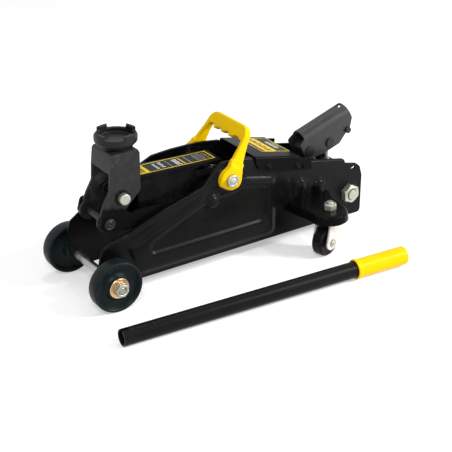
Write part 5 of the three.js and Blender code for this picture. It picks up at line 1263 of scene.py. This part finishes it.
def build_camera(scene, lens):
    data = bpy.data.cameras.new("photo camera")
    data.sensor_width = 36
    data.lens = lens
    data.clip_end = 50
    camera = bpy.data.objects.new("photo camera", data)
    right = Vector((math.cos(AZIMUTH), math.sin(AZIMUTH), 0))
    level = math.cos(ELEVATION)
    back = Vector((math.sin(AZIMUTH) * level, -math.cos(AZIMUTH) * level, math.sin(ELEVATION)))
    axes = Matrix((right, back.cross(right), back)).transposed().to_4x4()
    camera.matrix_world = Matrix.Translation(place(*EYE)) @ axes
    scene.collection.objects.link(camera)
    scene.camera = camera


class JACK_OT_stage(bpy.types.Operator):
    """Build the floor, the lamps, the pale world and the camera"""
    bl_idname = "jack.stage"
    bl_label = "Stage"

    def execute(self, context):
        scene = context.scene
        scene.view_settings.view_transform = "Standard"
        build_floor(scene)
        build_world(scene, scene.jack_stage.world_level)
        for name, values in LAMPS.items():
            build_lamp(scene, name, *values)
        build_camera(scene, scene.jack_stage.lens)
        return {"FINISHED"}


class JACK_PT_panel(bpy.types.Panel):
    """Lists the jack's settings and builders"""
    bl_label = "Floor Jack"
    bl_space_type = "VIEW_3D"
    bl_region_type = "UI"
    bl_category = "Floor Jack"

    def draw(self, context):
        for group in SETTINGS:
            settings = getattr(context.scene, group)
            for key in settings.bl_rna.properties.keys():
                if key not in {"rna_type", "name"}:
                    self.layout.prop(settings, key)
        for operator in OPERATORS:
            self.layout.operator(operator.bl_idname)


SETTINGS = {"jack_colours": JackColours, "jack_plates": JackPlates, "jack_labels": JackLabels,
            "jack_handle": JackHandle, "jack_stage": JackStage}
OPERATORS = (
    JACK_OT_finishes, JACK_OT_side_plates, JACK_OT_cover, JACK_OT_wings, JACK_OT_castings, JACK_OT_carry_handle,
    JACK_OT_front_wheels, JACK_OT_casters, JACK_OT_fasteners, JACK_OT_lever_grip, JACK_OT_labels, JACK_OT_stage,
)
CLASSES = (*SETTINGS.values(), *OPERATORS, JACK_PT_panel)


def register():
    for cls in CLASSES:
        bpy.utils.register_class(cls)
    for name, cls in SETTINGS.items():
        setattr(bpy.types.Scene, name, bpy.props.PointerProperty(type=cls))


def unregister():
    for name in SETTINGS:
        delattr(bpy.types.Scene, name)
    for cls in reversed(CLASSES):
        bpy.utils.unregister_class(cls)


def main():
    register()
    bpy.ops.jack.finishes()
    bpy.ops.jack.side_plates()
    bpy.ops.jack.cover()
    bpy.ops.jack.wings()
    bpy.ops.jack.castings()
    bpy.ops.jack.carry_handle()
    bpy.ops.jack.front_wheels()
    bpy.ops.jack.casters()
    bpy.ops.jack.fasteners()
    bpy.ops.jack.lever_grip()
    bpy.ops.jack.labels()
    bpy.ops.jack.stage()


if __name__ == "__main__":
    main()
